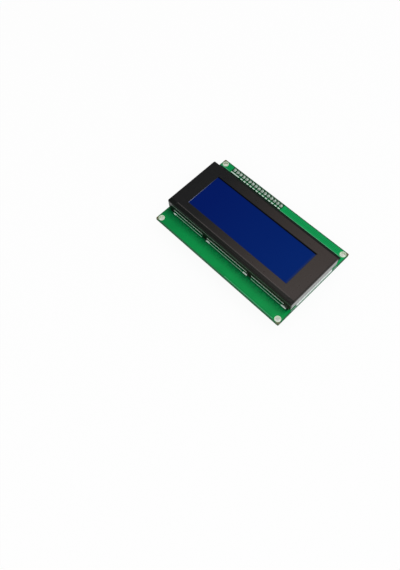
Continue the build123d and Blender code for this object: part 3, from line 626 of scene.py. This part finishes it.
def paint(looks):
    """Satin black paint, browner to the right and greyer on its end walls as painted reflection,
    with painted shade on its folds, painted highlights on its bead and crease, bare steel with a
    painted highlight on its rims, over tinned feet.
    """
    made = Finish("satin_black_paint", specular=0.34)
    upward = made.climb(made.facing[Z], -0.1, 0.05)
    near = made.climb(made.facing[Y], -0.5, -0.8)
    highlight_breakup = made.noise(700.0, detail=4.0)

    # Painted reflection: the paint turns browner towards +X
    sheen_drift = made.plus(made.along(X, -0.05, 0.05), made.times(made.noise(35.0), 0.25))
    warm = made.steps(sheen_drift, (0.3, 0.0), (1.0, 1.0))
    grain = made.steps(made.noise(5200.0), (0.4, 0.0), (0.75, 0.1))

    # Painted shade: dark folds and window lip, and the near side below the bead
    far_fold_shade = made.times(made.along(Y, 0.0184, 0.0187), upward)
    end_fold_shade = made.times(made.along(X, 0.0473, 0.0475), made.band(Z, 0.00893, 0.0092), 0.7)
    fold_shade = made.most(far_fold_shade, end_fold_shade, made.area(*LIP_ZONE, 0.0001))
    near_fold_shade = made.times(made.along(Y, -0.0169, -0.0173), upward, 0.8)

    # Painted reflection: the end walls are greyer, and painted light gives them a pale rim low down
    walls = made.times(made.climb(made.unsigned(made.facing[X]), 0.7, 0.95),
                       made.along(Z, 0.0, 0.001))
    outer = made.times(walls, made.climb(made.unsigned(made.axes[X]), 0.0478, 0.0482))
    low_wall_light = made.times(walls, made.along(Z, 0.0037, 0.0030), 0.6)

    # Painted highlights on the bead and on the crease under it, on the crease more so towards -X
    bead = made.times(made.area(*BEAD_ZONE, 0.00008), made.along(Z, 0.0086, 0.0087), 0.34)
    share = made.plus(made.times(made.along(X, 0.045, -0.045), 0.55), 0.25)
    crease = made.times(made.band(Z, *CREASE_HEIGHT), near, share,
                        made.steps(highlight_breakup, (0.3, 0.8), (0.6, 1.0)))

    # Bare steel with a painted highlight on the rims of the long skirts and at the cut of the
    # window
    spans = [made.band(X, *mm(*span)) for span in SKIRT_RIM_SPANS]
    rim = made.times(made.band(Z, *SKIRT_RIM, 0.00006), made.most(*spans),
                     made.steps(highlight_breakup, (0.3, 0.85), (0.6, 1.0)),
                     made.climb(made.unsigned(made.facing[Y]), 0.5, 0.8))
    cut = made.times(made.climb(made.facing[X], 0.5, 0.8), made.area(*CUT_ZONE),
                     made.along(Y, 0.014, -0.011))
    foot = made.along(Z, -0.0013, -0.0016)

    made.colour(made.layers(
        made.blend(warm, looks.paint, looks.paint_sheen),
        (grain, "0a0a0a"), (fold_shade, "020403"), (near_fold_shade, "0a100c"), (outer, "2e3333"),
        (low_wall_light, "a4acab"), (bead, "76706f"), (crease, "98a39d"), (rim, looks.rim_steel_highlight),
        (cut, "b9c6e4"), (foot, looks.foot)))
    glossy = made.climb(walls, 0.0, 1.0, 0.0, -0.14)
    level = made.climb(made.noise(420.0), 0.0, 1.0, 0.24, 0.34)
    dull = made.times(made.most(fold_shade, made.times(foot, 0.5)), 0.95)
    made.surface("Roughness", made.most(made.plus(level, glossy), dull))
    matt = made.most(made.times(near_fold_shade, 0.5), made.times(near, 0.6))
    shine = made.plus(made.times(walls, 0.34), 0.34)
    made.surface("Specular IOR Level",
                 made.calculate("SUBTRACT", shine, made.times(matt, 0.32)))
    smooth_walls = made.climb(walls, 1.0, 0.0)
    made.relief(made.times(made.noise(2400.0, detail=2.0), smooth_walls), 0.000007)
    return made.material


def display_film(looks):
    """Unlit blue display behind its anti-glare film, lighter towards +X as a painted reflection,
    with a painted shadow along its far edge.
    """
    made = Finish("blue_display_film", specular=0.03)
    # Painted reflection, lighter towards +X
    sheen_drift = made.plus(made.along(X, -0.04, 0.05), made.times(made.noise(30.0), 0.3))
    lips = made.most(made.along(X, 0.0366, 0.0381), made.along(Y, -0.0118, -0.0125))
    made.colour(made.layers(
        made.blend(made.steps(sheen_drift, (0.25, 0.0), (1.0, 1.0)), looks.film, looks.film_sheen),
        (made.steps(made.noise(9000.0), (0.45, 0.0), (0.8, 0.12)), "001250"),
        (made.times(lips, 0.8), "2c3a5c"),
        # Painted shadow of the window's far edge
        (made.along(Y, 0.0121, 0.0125), "02040e")))
    made.rough(made.noise(600.0), 0.3, 0.4)
    made.relief(made.noise(12000.0), 0.000002)
    return made.material


def clear(name, colour, roughness=0.05):
    """Glass or acrylic inside the module."""
    made = Finish(name)
    made.surface("Transmission Weight", 0.85)
    made.surface("IOR", 1.5)
    haze = made.steps(made.noise(300.0), (0.4, 0.0), (0.8, 0.2))
    made.colour(made.blend(haze, colour, "ffffff"))
    made.rough(made.noise(900.0), roughness, roughness + 0.05)
    made.relief(made.noise(500.0), 0.000001)
    return made.material


def moulded(name, colour, shade, rough, grain=2600.0, slot=None):
    """Moulded plastic or ceramic, finely grained and unevenly glossy, with painted shade above a
    slot's level.
    """
    made = Finish(name, specular=0.4)
    cloud = made.steps(made.noise(260.0, detail=4.0), (0.35, 0.0), (0.75, 1.0))
    coats = [(cloud, shade)]
    if slot is not None:
        # Painted shade inside the slot
        start = slot + SLOT_START
        slot_shadow = made.times(made.along(Z, start, start + SLOT_FADE), SLOT_SHADE)
        coats.append((slot_shadow, "0a1424"))
    made.colour(made.layers(colour, *coats))
    made.rough(made.noise(grain / 3), *rough)
    made.relief(made.noise(grain), 0.000008)
    return made.material


def resin():
    """Glossy black potting resin, almost a mirror on top and duller at its foot."""
    made = Finish("black_resin")
    cloud = made.steps(made.noise(500.0), (0.4, 0.0), (0.8, 1.0))
    made.colour(made.blend(cloud, "0b0b0c", "17181a"))
    made.rough(made.along(Z, -0.0036, -0.0016), 0.12, 0.34)
    made.relief(made.noise(190.0, detail=1.0), 0.00006)
    return made.material


def striped_rubber():
    """Elastomer strip of thin conducting and insulating layers."""
    made = Finish("striped_elastomer", specular=0.3)
    stripes = made.steps(made.weave(2200.0, "X"), (0.45, 0.0), (0.55, 1.0))
    made.colour(made.blend(stripes, "d8b0a4", "3a2e2c"))
    made.rough(made.noise(1200.0), 0.6, 0.75)
    made.relief(stripes, 0.000006)
    return made.material


def wear(material, *nodes):
    """Give every slot of some CAD nodes one finish."""
    for node in nodes:
        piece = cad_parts[node]
        if not piece.material_slots:
            piece.data.materials.append(material)
        for place in piece.material_slots:
            place.material = material


# ------------------------------------------------------------------ modelling by hand

def pick(mesh, points):
    """Select these points of a mesh in edit mode, and nothing else."""
    bpy.ops.mesh.select_all(action="DESELECT")
    for point in points:
        point.select_set(True)
    mesh.select_flush(True)


class Sheet:
    """A thin piece: flat shapes in millimetres on one level, at last drawn up to a thickness."""

    def __init__(self, name, level):
        """Start a piece in edit mode, empty, with its origin where the part's is."""
        self.level = level
        bpy.ops.object.select_all(action="DESELECT")
        bpy.ops.mesh.primitive_plane_add(size=MILLIMETRE, location=(0, 0, 0))
        self.piece = bpy.context.active_object
        self.piece.name = name
        bpy.ops.object.mode_set(mode="EDIT")
        bpy.ops.mesh.select_all(action="SELECT")
        bpy.ops.mesh.delete(type="VERT")

    def selected(self):
        """The mesh in edit mode, and the points of it that are selected."""
        mesh = bmesh.from_edit_mesh(self.piece.data)
        return mesh, [point for point in mesh.verts if point.select]

    def patch(self, x, y, length, width, turn=0.0):
        """A rectangle by its middle and size, turned by degrees."""
        middle = (*mm(x, y), self.level)
        bpy.ops.mesh.select_all(action="DESELECT")
        bpy.ops.mesh.primitive_plane_add(size=MILLIMETRE, location=middle)
        bpy.ops.transform.resize(value=(length, width, 1), center_override=middle)
        if turn:
            bpy.ops.transform.rotate(
                value=-math.radians(turn), orient_axis="Z", center_override=middle)

    def outline(self, x, y, length, width, line, turn=0.0):
        """The outline of a rectangle."""
        self.patch(x, y, length, width, turn)
        bpy.ops.mesh.inset(thickness=line * MILLIMETRE)
        bpy.ops.mesh.delete(type="FACE")

    def disc(self, x, y, radius, hole=0.0, sides=24):
        """A disc, or a ring where it has a hole."""
        bpy.ops.mesh.select_all(action="DESELECT")
        bpy.ops.mesh.primitive_circle_add(
            vertices=sides, radius=radius * MILLIMETRE, fill_type="NGON",
            location=(*mm(x, y), self.level))
        if hole:
            bpy.ops.mesh.inset(thickness=(radius - hole) * MILLIMETRE)
            bpy.ops.mesh.delete(type="FACE")

    def oval(self, x, y, width, length):
        """A disc whose two halves are drawn apart along Y."""
        self.disc(x, y, width / 2)
        mesh, fresh = self.selected()
        for way in (1, -1):
            pick(mesh, [point for point in fresh if (point.co.y - y * MILLIMETRE) * way > 0])
            bpy.ops.transform.translate(value=(0, way * (length - width) * MILLIMETRE / 2, 0))

    def stroke(self, points, width):
        """A ribbon of constant width, its end edge drawn out from point to point."""
        sides = mitred(points, width)
        bpy.ops.mesh.select_all(action="DESELECT")
        bpy.ops.mesh.primitive_plane_add(size=MILLIMETRE, location=(0, 0, self.level))
        mesh, corners = self.selected()
        ends = {}
        for corner in corners:
            step, hand = int(corner.co.x > 0), int(corner.co.y < 0)
            corner.co = (*mm(*sides[step][hand]), self.level)
            ends[step, hand] = corner
        tip = (ends[1, 0], ends[1, 1])
        for left, right in sides[2:]:
            pick(mesh, tip)
            old_left = tip[0].co.copy()
            bpy.ops.mesh.extrude_region_move(TRANSFORM_OT_translate={"value": (0, 0, 0)})
            mesh, fresh = self.selected()
            tip = sorted(fresh, key=lambda point: (point.co - old_left).length)
            tip[0].co = (*mm(*left), self.level)
            tip[1].co = (*mm(*right), self.level)

    def close(self, rise, material):
        """Draw the flat shapes up to a thickness and finish the piece."""
        bpy.ops.mesh.select_all(action="SELECT")
        bpy.ops.mesh.extrude_region_move(TRANSFORM_OT_translate={"value": (0, 0, rise)})
        bpy.ops.mesh.select_all(action="SELECT")
        bpy.ops.mesh.normals_make_consistent(inside=False)
        bpy.ops.object.mode_set(mode="OBJECT")
        self.piece.data.materials.append(material)
        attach(self.piece, MODULE)


def spun(x, y, turn, across, up):
    """A point beside a place, turned about it by degrees."""
    angle = math.radians(turn)
    return (x + across * math.cos(angle) - up * math.sin(angle),
            y + across * math.sin(angle) + up * math.cos(angle))


def spread(count, pitch):
    """Distances from the middle of a row of this many at this pitch."""
    return [(i - (count - 1) / 2) * pitch for i in range(count)]


def mitred(points, width):
    """Left and right edge of a line of constant width, closed lines meeting at a mitre."""
    closed = points[0] == points[-1]
    ways = []
    for (x0, y0), (x1, y1) in zip(points, points[1:]):
        reach = math.dist((x0, y0), (x1, y1))
        ways.append(((x1 - x0) / reach, (y1 - y0) / reach))
    sides = []
    for i, (x, y) in enumerate(points):
        before = ways[i - 1] if i or closed else ways[0]
        after = ways[i] if i < len(ways) else ways[0 if closed else -1]
        across = (-before[1] - after[1], before[0] + after[0])
        share = width / (across[0] ** 2 + across[1] ** 2)
        sides.append(((x + across[0] * share, y + across[1] * share),
                      (x - across[0] * share, y - across[1] * share)))
    return sides


def turned_form(name, rings, sides):
    """A round form drawn up ring by ring from its foot, as radius and height above the foot."""
    bpy.ops.object.select_all(action="DESELECT")
    radius, height = rings[0]
    bpy.ops.mesh.primitive_circle_add(
        vertices=sides, radius=radius, fill_type="NGON", location=(0, 0, 0))
    piece = bpy.context.active_object
    piece.name = name
    bpy.ops.object.mode_set(mode="EDIT")
    bpy.ops.mesh.select_all(action="SELECT")
    for next_radius, next_height in rings[1:]:
        rise = next_height - height
        bpy.ops.mesh.extrude_region_move(TRANSFORM_OT_translate={"value": (0, 0, rise)})
        shrink = next_radius / radius
        bpy.ops.transform.resize(value=(shrink, shrink, 1))
        radius, height = next_radius, next_height
    bpy.ops.mesh.select_all(action="SELECT")
    bpy.ops.mesh.normals_make_consistent(inside=False)
    bpy.ops.object.mode_set(mode="OBJECT")
    bpy.ops.object.shade_smooth_by_angle(angle=math.radians(50))
    return piece


def repeat(pattern, name, places, upside_down=False):
    """Copies of a pattern at places in metres, joined to one piece with the part's origin."""
    copies = []
    for place in places:
        made = pattern.copy()
        made.data = pattern.data.copy()
        bpy.context.collection.objects.link(made)
        made.location = place
        made.rotation_euler = (math.pi if upside_down else 0, 0, 0)
        copies.append(made)
    bpy.data.objects.remove(pattern)
    bpy.ops.object.select_all(action="DESELECT")
    for made in copies:
        made.select_set(True)
    bpy.context.view_layer.objects.active = copies[0]
    if len(copies) > 1:
        bpy.ops.object.join()
    bpy.ops.object.transform_apply(location=True, rotation=True, scale=True)
    bpy.ops.object.origin_set(type="ORIGIN_CURSOR")
    copies[0].name = name
    return copies[0]


def solder_cone(foot, top, height, steps=6, sides=20):
    """A solder joint in metres: a concave cone on a wetted foot, by two radii and a height."""
    neck = foot * 0.94
    rings = [(foot, 0.0), (foot * 0.98, height * 0.04)]
    for i in range(1, steps + 1):
        share = i / steps
        rings.append((neck + (top - neck) * share ** 0.55,
                      height * (0.06 + 0.94 * share ** 1.15)))
    return turned_form("solder_cone", rings, sides)


def resin_dome():
    """A cap of a ball, as wide and as high as a resin blob."""
    base = BLOB_DIAMETER / 2
    radius = (base ** 2 + BLOB_HEIGHT ** 2) / (2 * BLOB_HEIGHT)
    opening = math.asin(base / radius)
    rings = []
    for i in range(BLOB_RINGS):
        angle = opening * (1 - i / BLOB_RINGS)
        rings.append(mm(radius * math.sin(angle), radius * math.cos(angle) - radius + BLOB_HEIGHT))
    return turned_form("resin_dome", rings, BLOB_SIDES)


# ------------------------------------------------------------------ operators: main board

class DISPLAY_OT_main_board(bpy.types.Operator):
    """Green mask, plated rings and cut edges of the main board"""
    bl_idname = "display.main_board"
    bl_label = "Main board finish"

    def execute(self, context):
        wear(solder_mask(context.scene.board_looks), "main_board")
        wear(tin("tinned_ring", "e6f6e4", "d3e4c8", rough=(0.35, 0.55), metal=0.0), "hole_rings")
        return {"FINISHED"}


class DISPLAY_OT_front_print(bpy.types.Operator):
    """White print on the display side of the main board"""
    bl_idname = "display.front_print"
    bl_label = "Front print"

    def execute(self, context):
        looks = context.scene.board_looks
        sheet = Sheet("front_print", FRONT)
        sheet.patch(*HEADER_BAR)
        for x in HEADER_MARK_XS:
            sheet.patch(x, HEADER_BAR[1], HEADER_MARK_LENGTH, HEADER_BAR[3])
        for x, y, length in SKIRT_MARKS:
            sheet.patch(x, y, length, SKIRT_MARK_WIDTH)
        sheet.close(looks.ink_thickness, ink("white_ink", looks.ink))
        return {"FINISHED"}


class DISPLAY_OT_front_tracks(bpy.types.Operator):
    """Edges of the copper fill, and the oval header pads of both boards"""
    bl_idname = "display.front_tracks"
    bl_label = "Fill edges and header pads"

    def execute(self, context):
        looks = context.scene.board_looks
        sheet = Sheet("fill_edge", FRONT)
        for start, end in FILL_LINE_SPANS:
            sheet.patch((start + end) / 2, FILL_LINE_Y, end - start, FILL_LINE_WIDTH)
        sheet.patch(*LOW_LINE)
        sheet.close(looks.track_thickness, masked_track("masked_fill_edge", "5fbf8e"))

        sheet = Sheet("skirt_line", FRONT)
        for start, end in SKIRT_LINE_SPANS:
            sheet.patch((start + end) / 2, SKIRT_LINE_Y, end - start, SKIRT_LINE_WIDTH)
        sheet.close(looks.track_thickness, masked_track("masked_skirt_line", "a4dcbb"))

        tinned = tin("tinned_pad", "a3bfae", "7b9a88", rough=(0.3, 0.5), metal=0.1)
        for name, level, rise in (
                ("header_pads_front", FRONT, PAD_RISE), ("header_pads_rear", ADAPTER, -PAD_RISE)):
            sheet = Sheet(name, level)
            for x in PIN_XS:
                sheet.oval(x, PAD_Y, *PAD_SIZE)
            sheet.close(rise, tinned)
        return {"FINISHED"}


class DISPLAY_OT_rear_tracks(bpy.types.Operator):
    """Tracks, small vias, foot rings and plated pads on the rear of the main board"""
    bl_idname = "display.rear_tracks"
    bl_label = "Rear tracks and pads"

    def execute(self, context):
        looks = context.scene.board_looks
        sheet = Sheet("rear_bands", REAR)
        for points in REAR_BANDS:
            sheet.stroke(points, BAND_WIDTH)
        sheet.close(-looks.track_thickness * BAND_SHARE, masked_track("masked_band", "008a4a"))

        sheet = Sheet("rear_tracks", REAR)
        vias = list(LOOSE_VIAS)
        for x, y, way, row in FANS:
            for i, shift in enumerate(spread(FAN_COUNT, FAN_PITCH)):
                start = (x + FAN_GATHER * shift, y + way * FAN_START)
                bend = (x + shift, y + way * FAN_BEND)
                sheet.stroke((start, bend, (x + shift, row)), TRACK_WIDTH)
                vias.append((x + shift, row + way * FAN_STAGGER * (i % 2)))
        for points in RAILS:
            sheet.stroke(points, RAIL_WIDTH)
        for points in LINKS:
            for shift in spread(LINK_COUNT, LINK_PITCH):
                sheet.stroke([(x + LINK_GATHER * shift, y + shift) for x, y in points],
                             TRACK_WIDTH)
        sheet.close(-looks.track_thickness, masked_track("masked_track", "22bd78"))

        sheet = Sheet("rear_vias", REAR)
        for place in vias:
            sheet.disc(*place, **REAR_VIA)
        sheet.close(-RING_RISE, tin("tinned_via", "b9d8c2", "7fae93", rough=(0.35, 0.5), metal=0.4))

        sheet = Sheet("foot_rings", REAR)
        for place in FOOT_PLACES:
            sheet.outline(*place, *FOOT_RING)
        sheet.close(-RING_RISE, tin("dull_ring", "cdd9bd", "a9ad84", rough=(0.4, 0.6), metal=0.3))

        sheet = Sheet("test_pads", REAR)
        for place in TEST_PADS:
            sheet.disc(*place, **TEST_PAD)
        sheet.close(-PAD_RISE, tin("plated_pad", "ece3bd", "cdbd84", rough=(0.25, 0.45), metal=0.6))

        sheet = Sheet("bare_stripes", REAR)
        for stripe in BARE_STRIPES:
            sheet.patch(*stripe)
        sheet.close(-looks.track_thickness,
                    moulded("bare_laminate", "8a6a48", "6f5236", rough=(0.5, 0.7)))
        return {"FINISHED"}


class DISPLAY_OT_rear_print(bpy.types.Operator):
    """Printed outlines and marks on the rear of the main board"""
    bl_idname = "display.rear_print"
    bl_label = "Rear print"

    def execute(self, context):
        looks = context.scene.board_looks
        length, width, line = CHIP_OUTLINE
        sheet = Sheet("rear_print", REAR)
        for x, y, turn in OUTLINED_CHIPS:
            sheet.outline(x, y, length, width, line, turn)
        for x, y, turn in OPEN_OUTLINES:
            sheet.stroke([spun(x, y, turn, *point) for point in OPEN_CORNERS], OPEN_LINE)
        for points in REAR_OUTLINES:
            sheet.stroke(points, REAR_LINE)
        for bar in REAR_BARS:
            sheet.patch(*bar)
        sheet.close(-looks.ink_thickness, ink("white_ink_rear", looks.ink))

        sheet = Sheet("blob_outlines", REAR)
        for place in BLOB_PLACES:
            sheet.disc(*place, **BLOB_PRINT)
        sheet.close(-looks.ink_thickness, ink("brown_ink", "7d7748"))
        return {"FINISHED"}


# ------------------------------------------------------------------ operators: adapter and parts

class DISPLAY_OT_adapter_print(bpy.types.Operator):
    """Print, tracks and vias on the outer face of the adapter board, chip dimple and lens"""
    bl_idname = "display.adapter_print"
    bl_label = "Adapter print and tracks"

    def execute(self, context):
        board = context.scene.board_looks
        looks = context.scene.adapter_looks
        sheet = Sheet("adapter_print", ADAPTER)
        for points in ADAPTER_LINES:
            sheet.stroke(points, ADAPTER_LINE_WIDTH)
        for bar in ADAPTER_BARS:
            sheet.patch(*bar)
        for outline in ADAPTER_OUTLINES:
            sheet.outline(*outline, ADAPTER_OUTLINE_WIDTH)
        sheet.close(-board.ink_thickness, ink("white_ink_adapter", "dfe3e0"))

        sheet = Sheet("adapter_tracks", ADAPTER)
        for points in ADAPTER_TRACKS:
            sheet.stroke(points, ADAPTER_TRACK_WIDTH)
        sheet.close(-board.track_thickness, moulded(
            "black_masked_track", "24282b", "2e3236", rough=(0.28, 0.4), grain=1400.0))

        sheet = Sheet("adapter_vias", ADAPTER)
        for place in ADAPTER_VIAS:
            sheet.disc(*place, **ADAPTER_VIA)
        sheet.close(-RING_RISE,
                    tin("adapter_via", "c9c6b8", "8f8b7c", rough=(0.3, 0.45), metal=0.7))

        sheet = Sheet("chip_dimple", CHIP_FACE)
        sheet.disc(*CHIP_DIMPLE, **DIMPLE_RING)
        sheet.close(-DIMPLE_RISE,
                    moulded("chip_dimple_rim", "3d3a34", looks.chip, rough=(0.35, 0.5)))

        dome = turned_form("led_lens", [mm(*ring) for ring in LED_RINGS], LED_SIDES)
        piece = repeat(dome, "led_lens", [(*mm(*LED_PLACE), LED_FACE)], upside_down=True)
        piece.data.materials.append(clear("lens_resin", "ffd9c4", 0.12))
        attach(piece, MODULE)
        return {"FINISHED"}


class DISPLAY_OT_solder_joints(bpy.types.Operator):
    """Bright concave solder on every pin and lead"""
    bl_idname = "display.solder_joints"
    bl_label = "Solder joints"

    def execute(self, context):
        solder = tin("solder", "fbfffc", "e2f2e6", rough=(0.2, 0.38), metal=0.08)
        piece = repeat(solder_cone(*mm(*JOINT_FRONT)), "header_solder_front",
                       [(*mm(x, HEADER_Y), FRONT) for x in PIN_XS])
        piece.data.materials.append(solder)
        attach(piece, MODULE)
        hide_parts("header_joints_front")
        piece = repeat(solder_cone(*mm(*JOINT_REAR)), "header_solder_rear",
                       [(*mm(x, HEADER_Y), ADAPTER) for x in PIN_XS], upside_down=True)
        piece.data.materials.append(solder)
        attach(piece, MODULE)
        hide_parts("header_joints_rear")
        wear(solder, "adapter_joints", "lead_solder", "address_lands")
        return {"FINISHED"}


class DISPLAY_OT_resin_blobs(bpy.types.Operator):
    """Five domes of black resin over the driver chips"""
    bl_idname = "display.resin_blobs"
    bl_label = "Resin blobs"

    def execute(self, context):
        places = [(*mm(*place), REAR) for place in BLOB_PLACES]
        piece = repeat(resin_dome(), "resin_blobs", places, upside_down=True)
        piece.data.materials.append(resin())
        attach(piece, MODULE)
        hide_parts("driver_blobs")
        return {"FINISHED"}


class DISPLAY_OT_display_cell(bpy.types.Operator):
    """Bezel paint, display film, glass, backlight and contact strips"""
    bl_idname = "display.display_cell"
    bl_label = "Bezel and display"

    def execute(self, context):
        looks = context.scene.display_looks
        wear(paint(looks), "bezel")
        wear(display_film(looks), "front_polariser", "rear_polariser")
        wear(clear("cell_glass", "cfe0ea"), "front_glass", "rear_glass")
        wear(striped_rubber(), "contact_strips")
        wear(moulded("white_frame", looks.frame_white, "d9e2de", rough=(0.35, 0.5)),
             "backlight_frame")
        wear(clear("clear_guide", "e6f0f4", 0.12), "light_guide")
        wear(moulded("frosted_film", "f0f2f2", "dfe4e4", rough=(0.5, 0.65)), "diffuser_film")
        wear(moulded("strip_board", "e8e8dc", "cfcfbe", rough=(0.4, 0.5)), "emitter_board")
        wear(moulded("phosphor", "e8dc7a", "d6c65a", rough=(0.3, 0.45)), "emitters")
        return {"FINISHED"}


class DISPLAY_OT_parts(bpy.types.Operator):
    """Pins, chip parts, chips and the trimmer"""
    bl_idname = "display.parts"
    bl_label = "Pins and parts"

    def execute(self, context):
        looks = context.scene.adapter_looks
        # The header pins are bright up to a height as a painted highlight, darker at their tips
        wear(tin("pin_with_painted_highlight", "f2fbf4", "cfdfd3", rough=(0.3, 0.5), metal=0.5,
                 tips=("7c7a68", "565348")), "header_pins")
        wear(tin("tinned_lead", "8d8874", "5e5a4c", rough=(0.3, 0.5)),
             "backlight_leads", "trimmer_pins")
        wear(tin("flash_gold", "e6cf9a", "b4945a", rough=(0.22, 0.4)),
             "bus_header_pins", "jumper_header_pins")
        wear(tin("chip_lead", "cfc9bb", "8f897a", rough=(0.25, 0.4)),
             "expander_leads", "transistor_leads")
        wear(moulded("black_insulator", "141414", "1f1f20", rough=(0.42, 0.58)),
             "header_strip", "bus_header_blocks", "jumper_header_blocks")
        wear(tin("chip_end", "dad7cf", "9d988c", rough=(0.25, 0.45)),
             "board_chip_ends", "adapter_chip_ends")
        wear(moulded("resistor_glaze", "17171a", "26262a", rough=(0.25, 0.4)),
             "board_resistors", "adapter_resistors")
        wear(moulded("capacitor_ceramic", "a98a66", "94764f", rough=(0.45, 0.6)),
             "board_capacitors", "adapter_capacitors")
        wear(moulded("indicator_lens", "d94a3a", "f0e6d8", rough=(0.2, 0.3)), "power_led")
        wear(moulded("chip_moulding", looks.chip, "383530", rough=(0.5, 0.65), grain=5200.0),
             "expander_chip", "transistor_body")
        wear(moulded("trimmer_blue", looks.trimmer, "2f7ad6", rough=(0.32, 0.46)), "trimmer_body")
        wear(moulded("rotor_blue", "62a8f2", "3f8fe8", rough=(0.35, 0.5), slot=ROTOR_FACE),
             "trimmer_rotor")
        wear(moulded("black_mask", looks.mask, "232629", rough=(0.3, 0.42), grain=1400.0),
             "adapter_board")
        return {"FINISHED"}


# ------------------------------------------------------------------ stage

def camera_matrix():
    """The photograph's camera: its axes as columns, its place last."""
    back = [-value for value in CAMERA_AHEAD]
    rows = [[CAMERA_RIGHT[i], CAMERA_UP[i], back[i], CAMERA_PLACE[i]] for i in range(3)]
    return Matrix(rows + [[0, 0, 0, 1]])


def seen_directly(graph, gloss):
    """1 for rays from the camera and through glass, and for those from gloss where asked."""
    path = graph.node("ShaderNodeLightPath").outputs
    total = graph.most(path["Is Camera Ray"], path["Is Transmission Ray"])
    return graph.most(total, path["Is Glossy Ray"]) if gloss else total


def surroundings(graph):
    """How bright the room is: white to the eye and low down, its ceiling dimmer in reflections."""
    place = graph.node("ShaderNodeTexCoord").outputs["Generated"]
    way = graph.node("ShaderNodeSeparateXYZ", {"Vector": place}).outputs
    ceiling = graph.climb(way[X], -0.40, -0.14, CEILING_DIM, CEILING_BRIGHT)
    mirrored = graph.between(graph.climb(way[Z], 0.05, 0.35), 1.0, ceiling)
    glossy = graph.node("ShaderNodeLightPath").outputs["Is Glossy Ray"]
    level = graph.between(glossy, ROOM_LIGHT, mirrored)
    return graph.between(seen_directly(graph, gloss=False), level, 1.0)


def pale_paper():
    """Paper of the floor: near white to the eye, with a painted shadow under the module, and it
    keeps cast shadows.
    """
    made = Finish("pale_paper", roughness=0.9, specular=0.1)
    # Painted shadow under the module: darker paper, lifted less
    below = made.area(*SHADE_SPANS, SHADE_EDGE)
    made.colour(made.layers(
        made.blend(made.noise(8.0), "fbfbfb", "f7f7f7"), (below, "b6bba2")))
    made.relief(made.noise(900.0), 0.00001)
    glow = made.node("ShaderNodeEmission", {"Color": "ffffff", "Strength": 1.0})
    open_floor = made.plus(made.times(below, -FLOOR_SHADE), 1.0)
    lift = made.times(open_floor, FLOOR_LIFT, seen_directly(made, gloss=True))
    shaders = {0: lift, 1: made.shader.outputs[0], 2: glow.outputs[0]}
    mixed = made.node("ShaderNodeMixShader", shaders)
    made.feed(made.tree.nodes["Material Output"].inputs["Surface"], mixed.outputs[0])
    return made.material


class DISPLAY_OT_stage(bpy.types.Operator):
    """Pale floor, soft light, white surroundings and the photograph's camera"""
    bl_idname = "display.stage"
    bl_label = "Stage"

    def execute(self, context):
        scene = context.scene
        scene.view_settings.view_transform = "Standard"
        bpy.ops.object.select_all(action="DESELECT")
        bpy.ops.mesh.primitive_plane_add(size=FLOOR_SIZE, location=(0, 0, CAD_BOX[0][Z]))
        floor = context.active_object
        floor.name = "floor"
        bpy.ops.object.transform_apply(location=True, rotation=True, scale=True)
        floor.data.materials.append(pale_paper())

        world = bpy.data.worlds.new("studio")
        world.use_nodes = True
        scene.world = world
        sky = world.node_tree.nodes["Background"].inputs
        graph = Graph(world.node_tree)
        graph.feed(sky["Color"], "ffffff")
        graph.feed(sky["Strength"], surroundings(graph))

        for name, place, size, energy in LAMPS:
            bpy.ops.object.light_add(type="AREA", location=place)
            lamp = context.active_object
            lamp.name = name
            lamp.data.size = size
            lamp.data.energy = energy
            lamp.rotation_euler = Vector(place).to_track_quat("Z", "Y").to_euler()

        bpy.ops.object.camera_add()
        camera = context.active_object
        camera.name = "photo_camera"
        camera.matrix_world = camera_matrix()
        camera.data.lens = CAMERA_LENS
        camera.data.sensor_width = CAMERA_SENSOR
        camera.data.clip_start = CAMERA_NEAR
        scene.camera = camera
        return {"FINISHED"}


# ------------------------------------------------------------------ panel and registration

OPERATORS = (
    DISPLAY_OT_main_board, DISPLAY_OT_front_print, DISPLAY_OT_front_tracks,
    DISPLAY_OT_rear_tracks, DISPLAY_OT_rear_print, DISPLAY_OT_adapter_print,
    DISPLAY_OT_solder_joints, DISPLAY_OT_resin_blobs, DISPLAY_OT_display_cell,
    DISPLAY_OT_parts, DISPLAY_OT_stage,
)
LOOKS = {"board_looks": BoardLooks, "display_looks": DisplayLooks, "adapter_looks": AdapterLooks}


class DISPLAY_PT_sidebar(bpy.types.Panel):
    """Lists the colours and the steps that finish the module"""
    bl_idname = "DISPLAY_PT_sidebar"
    bl_label = "Display module"
    bl_space_type = "VIEW_3D"
    bl_region_type = "UI"
    bl_category = "Display module"

    def draw(self, context):
        for name, kind in LOOKS.items():
            box = self.layout.box()
            for key in kind.__annotations__:
                box.prop(getattr(context.scene, name), key)
        for step in OPERATORS:
            self.layout.operator(step.bl_idname)


def register():
    for kind in (*LOOKS.values(), *OPERATORS, DISPLAY_PT_sidebar):
        bpy.utils.register_class(kind)
    for name, kind in LOOKS.items():
        setattr(bpy.types.Scene, name, bpy.props.PointerProperty(type=kind))


def unregister():
    for name in LOOKS:
        delattr(bpy.types.Scene, name)
    for kind in reversed((*LOOKS.values(), *OPERATORS, DISPLAY_PT_sidebar)):
        bpy.utils.unregister_class(kind)


def main():
    register()
    for step in OPERATORS:
        group, name = step.bl_idname.split(".")
        getattr(getattr(bpy.ops, group), name)()


if __name__ == "__main__":
    main()
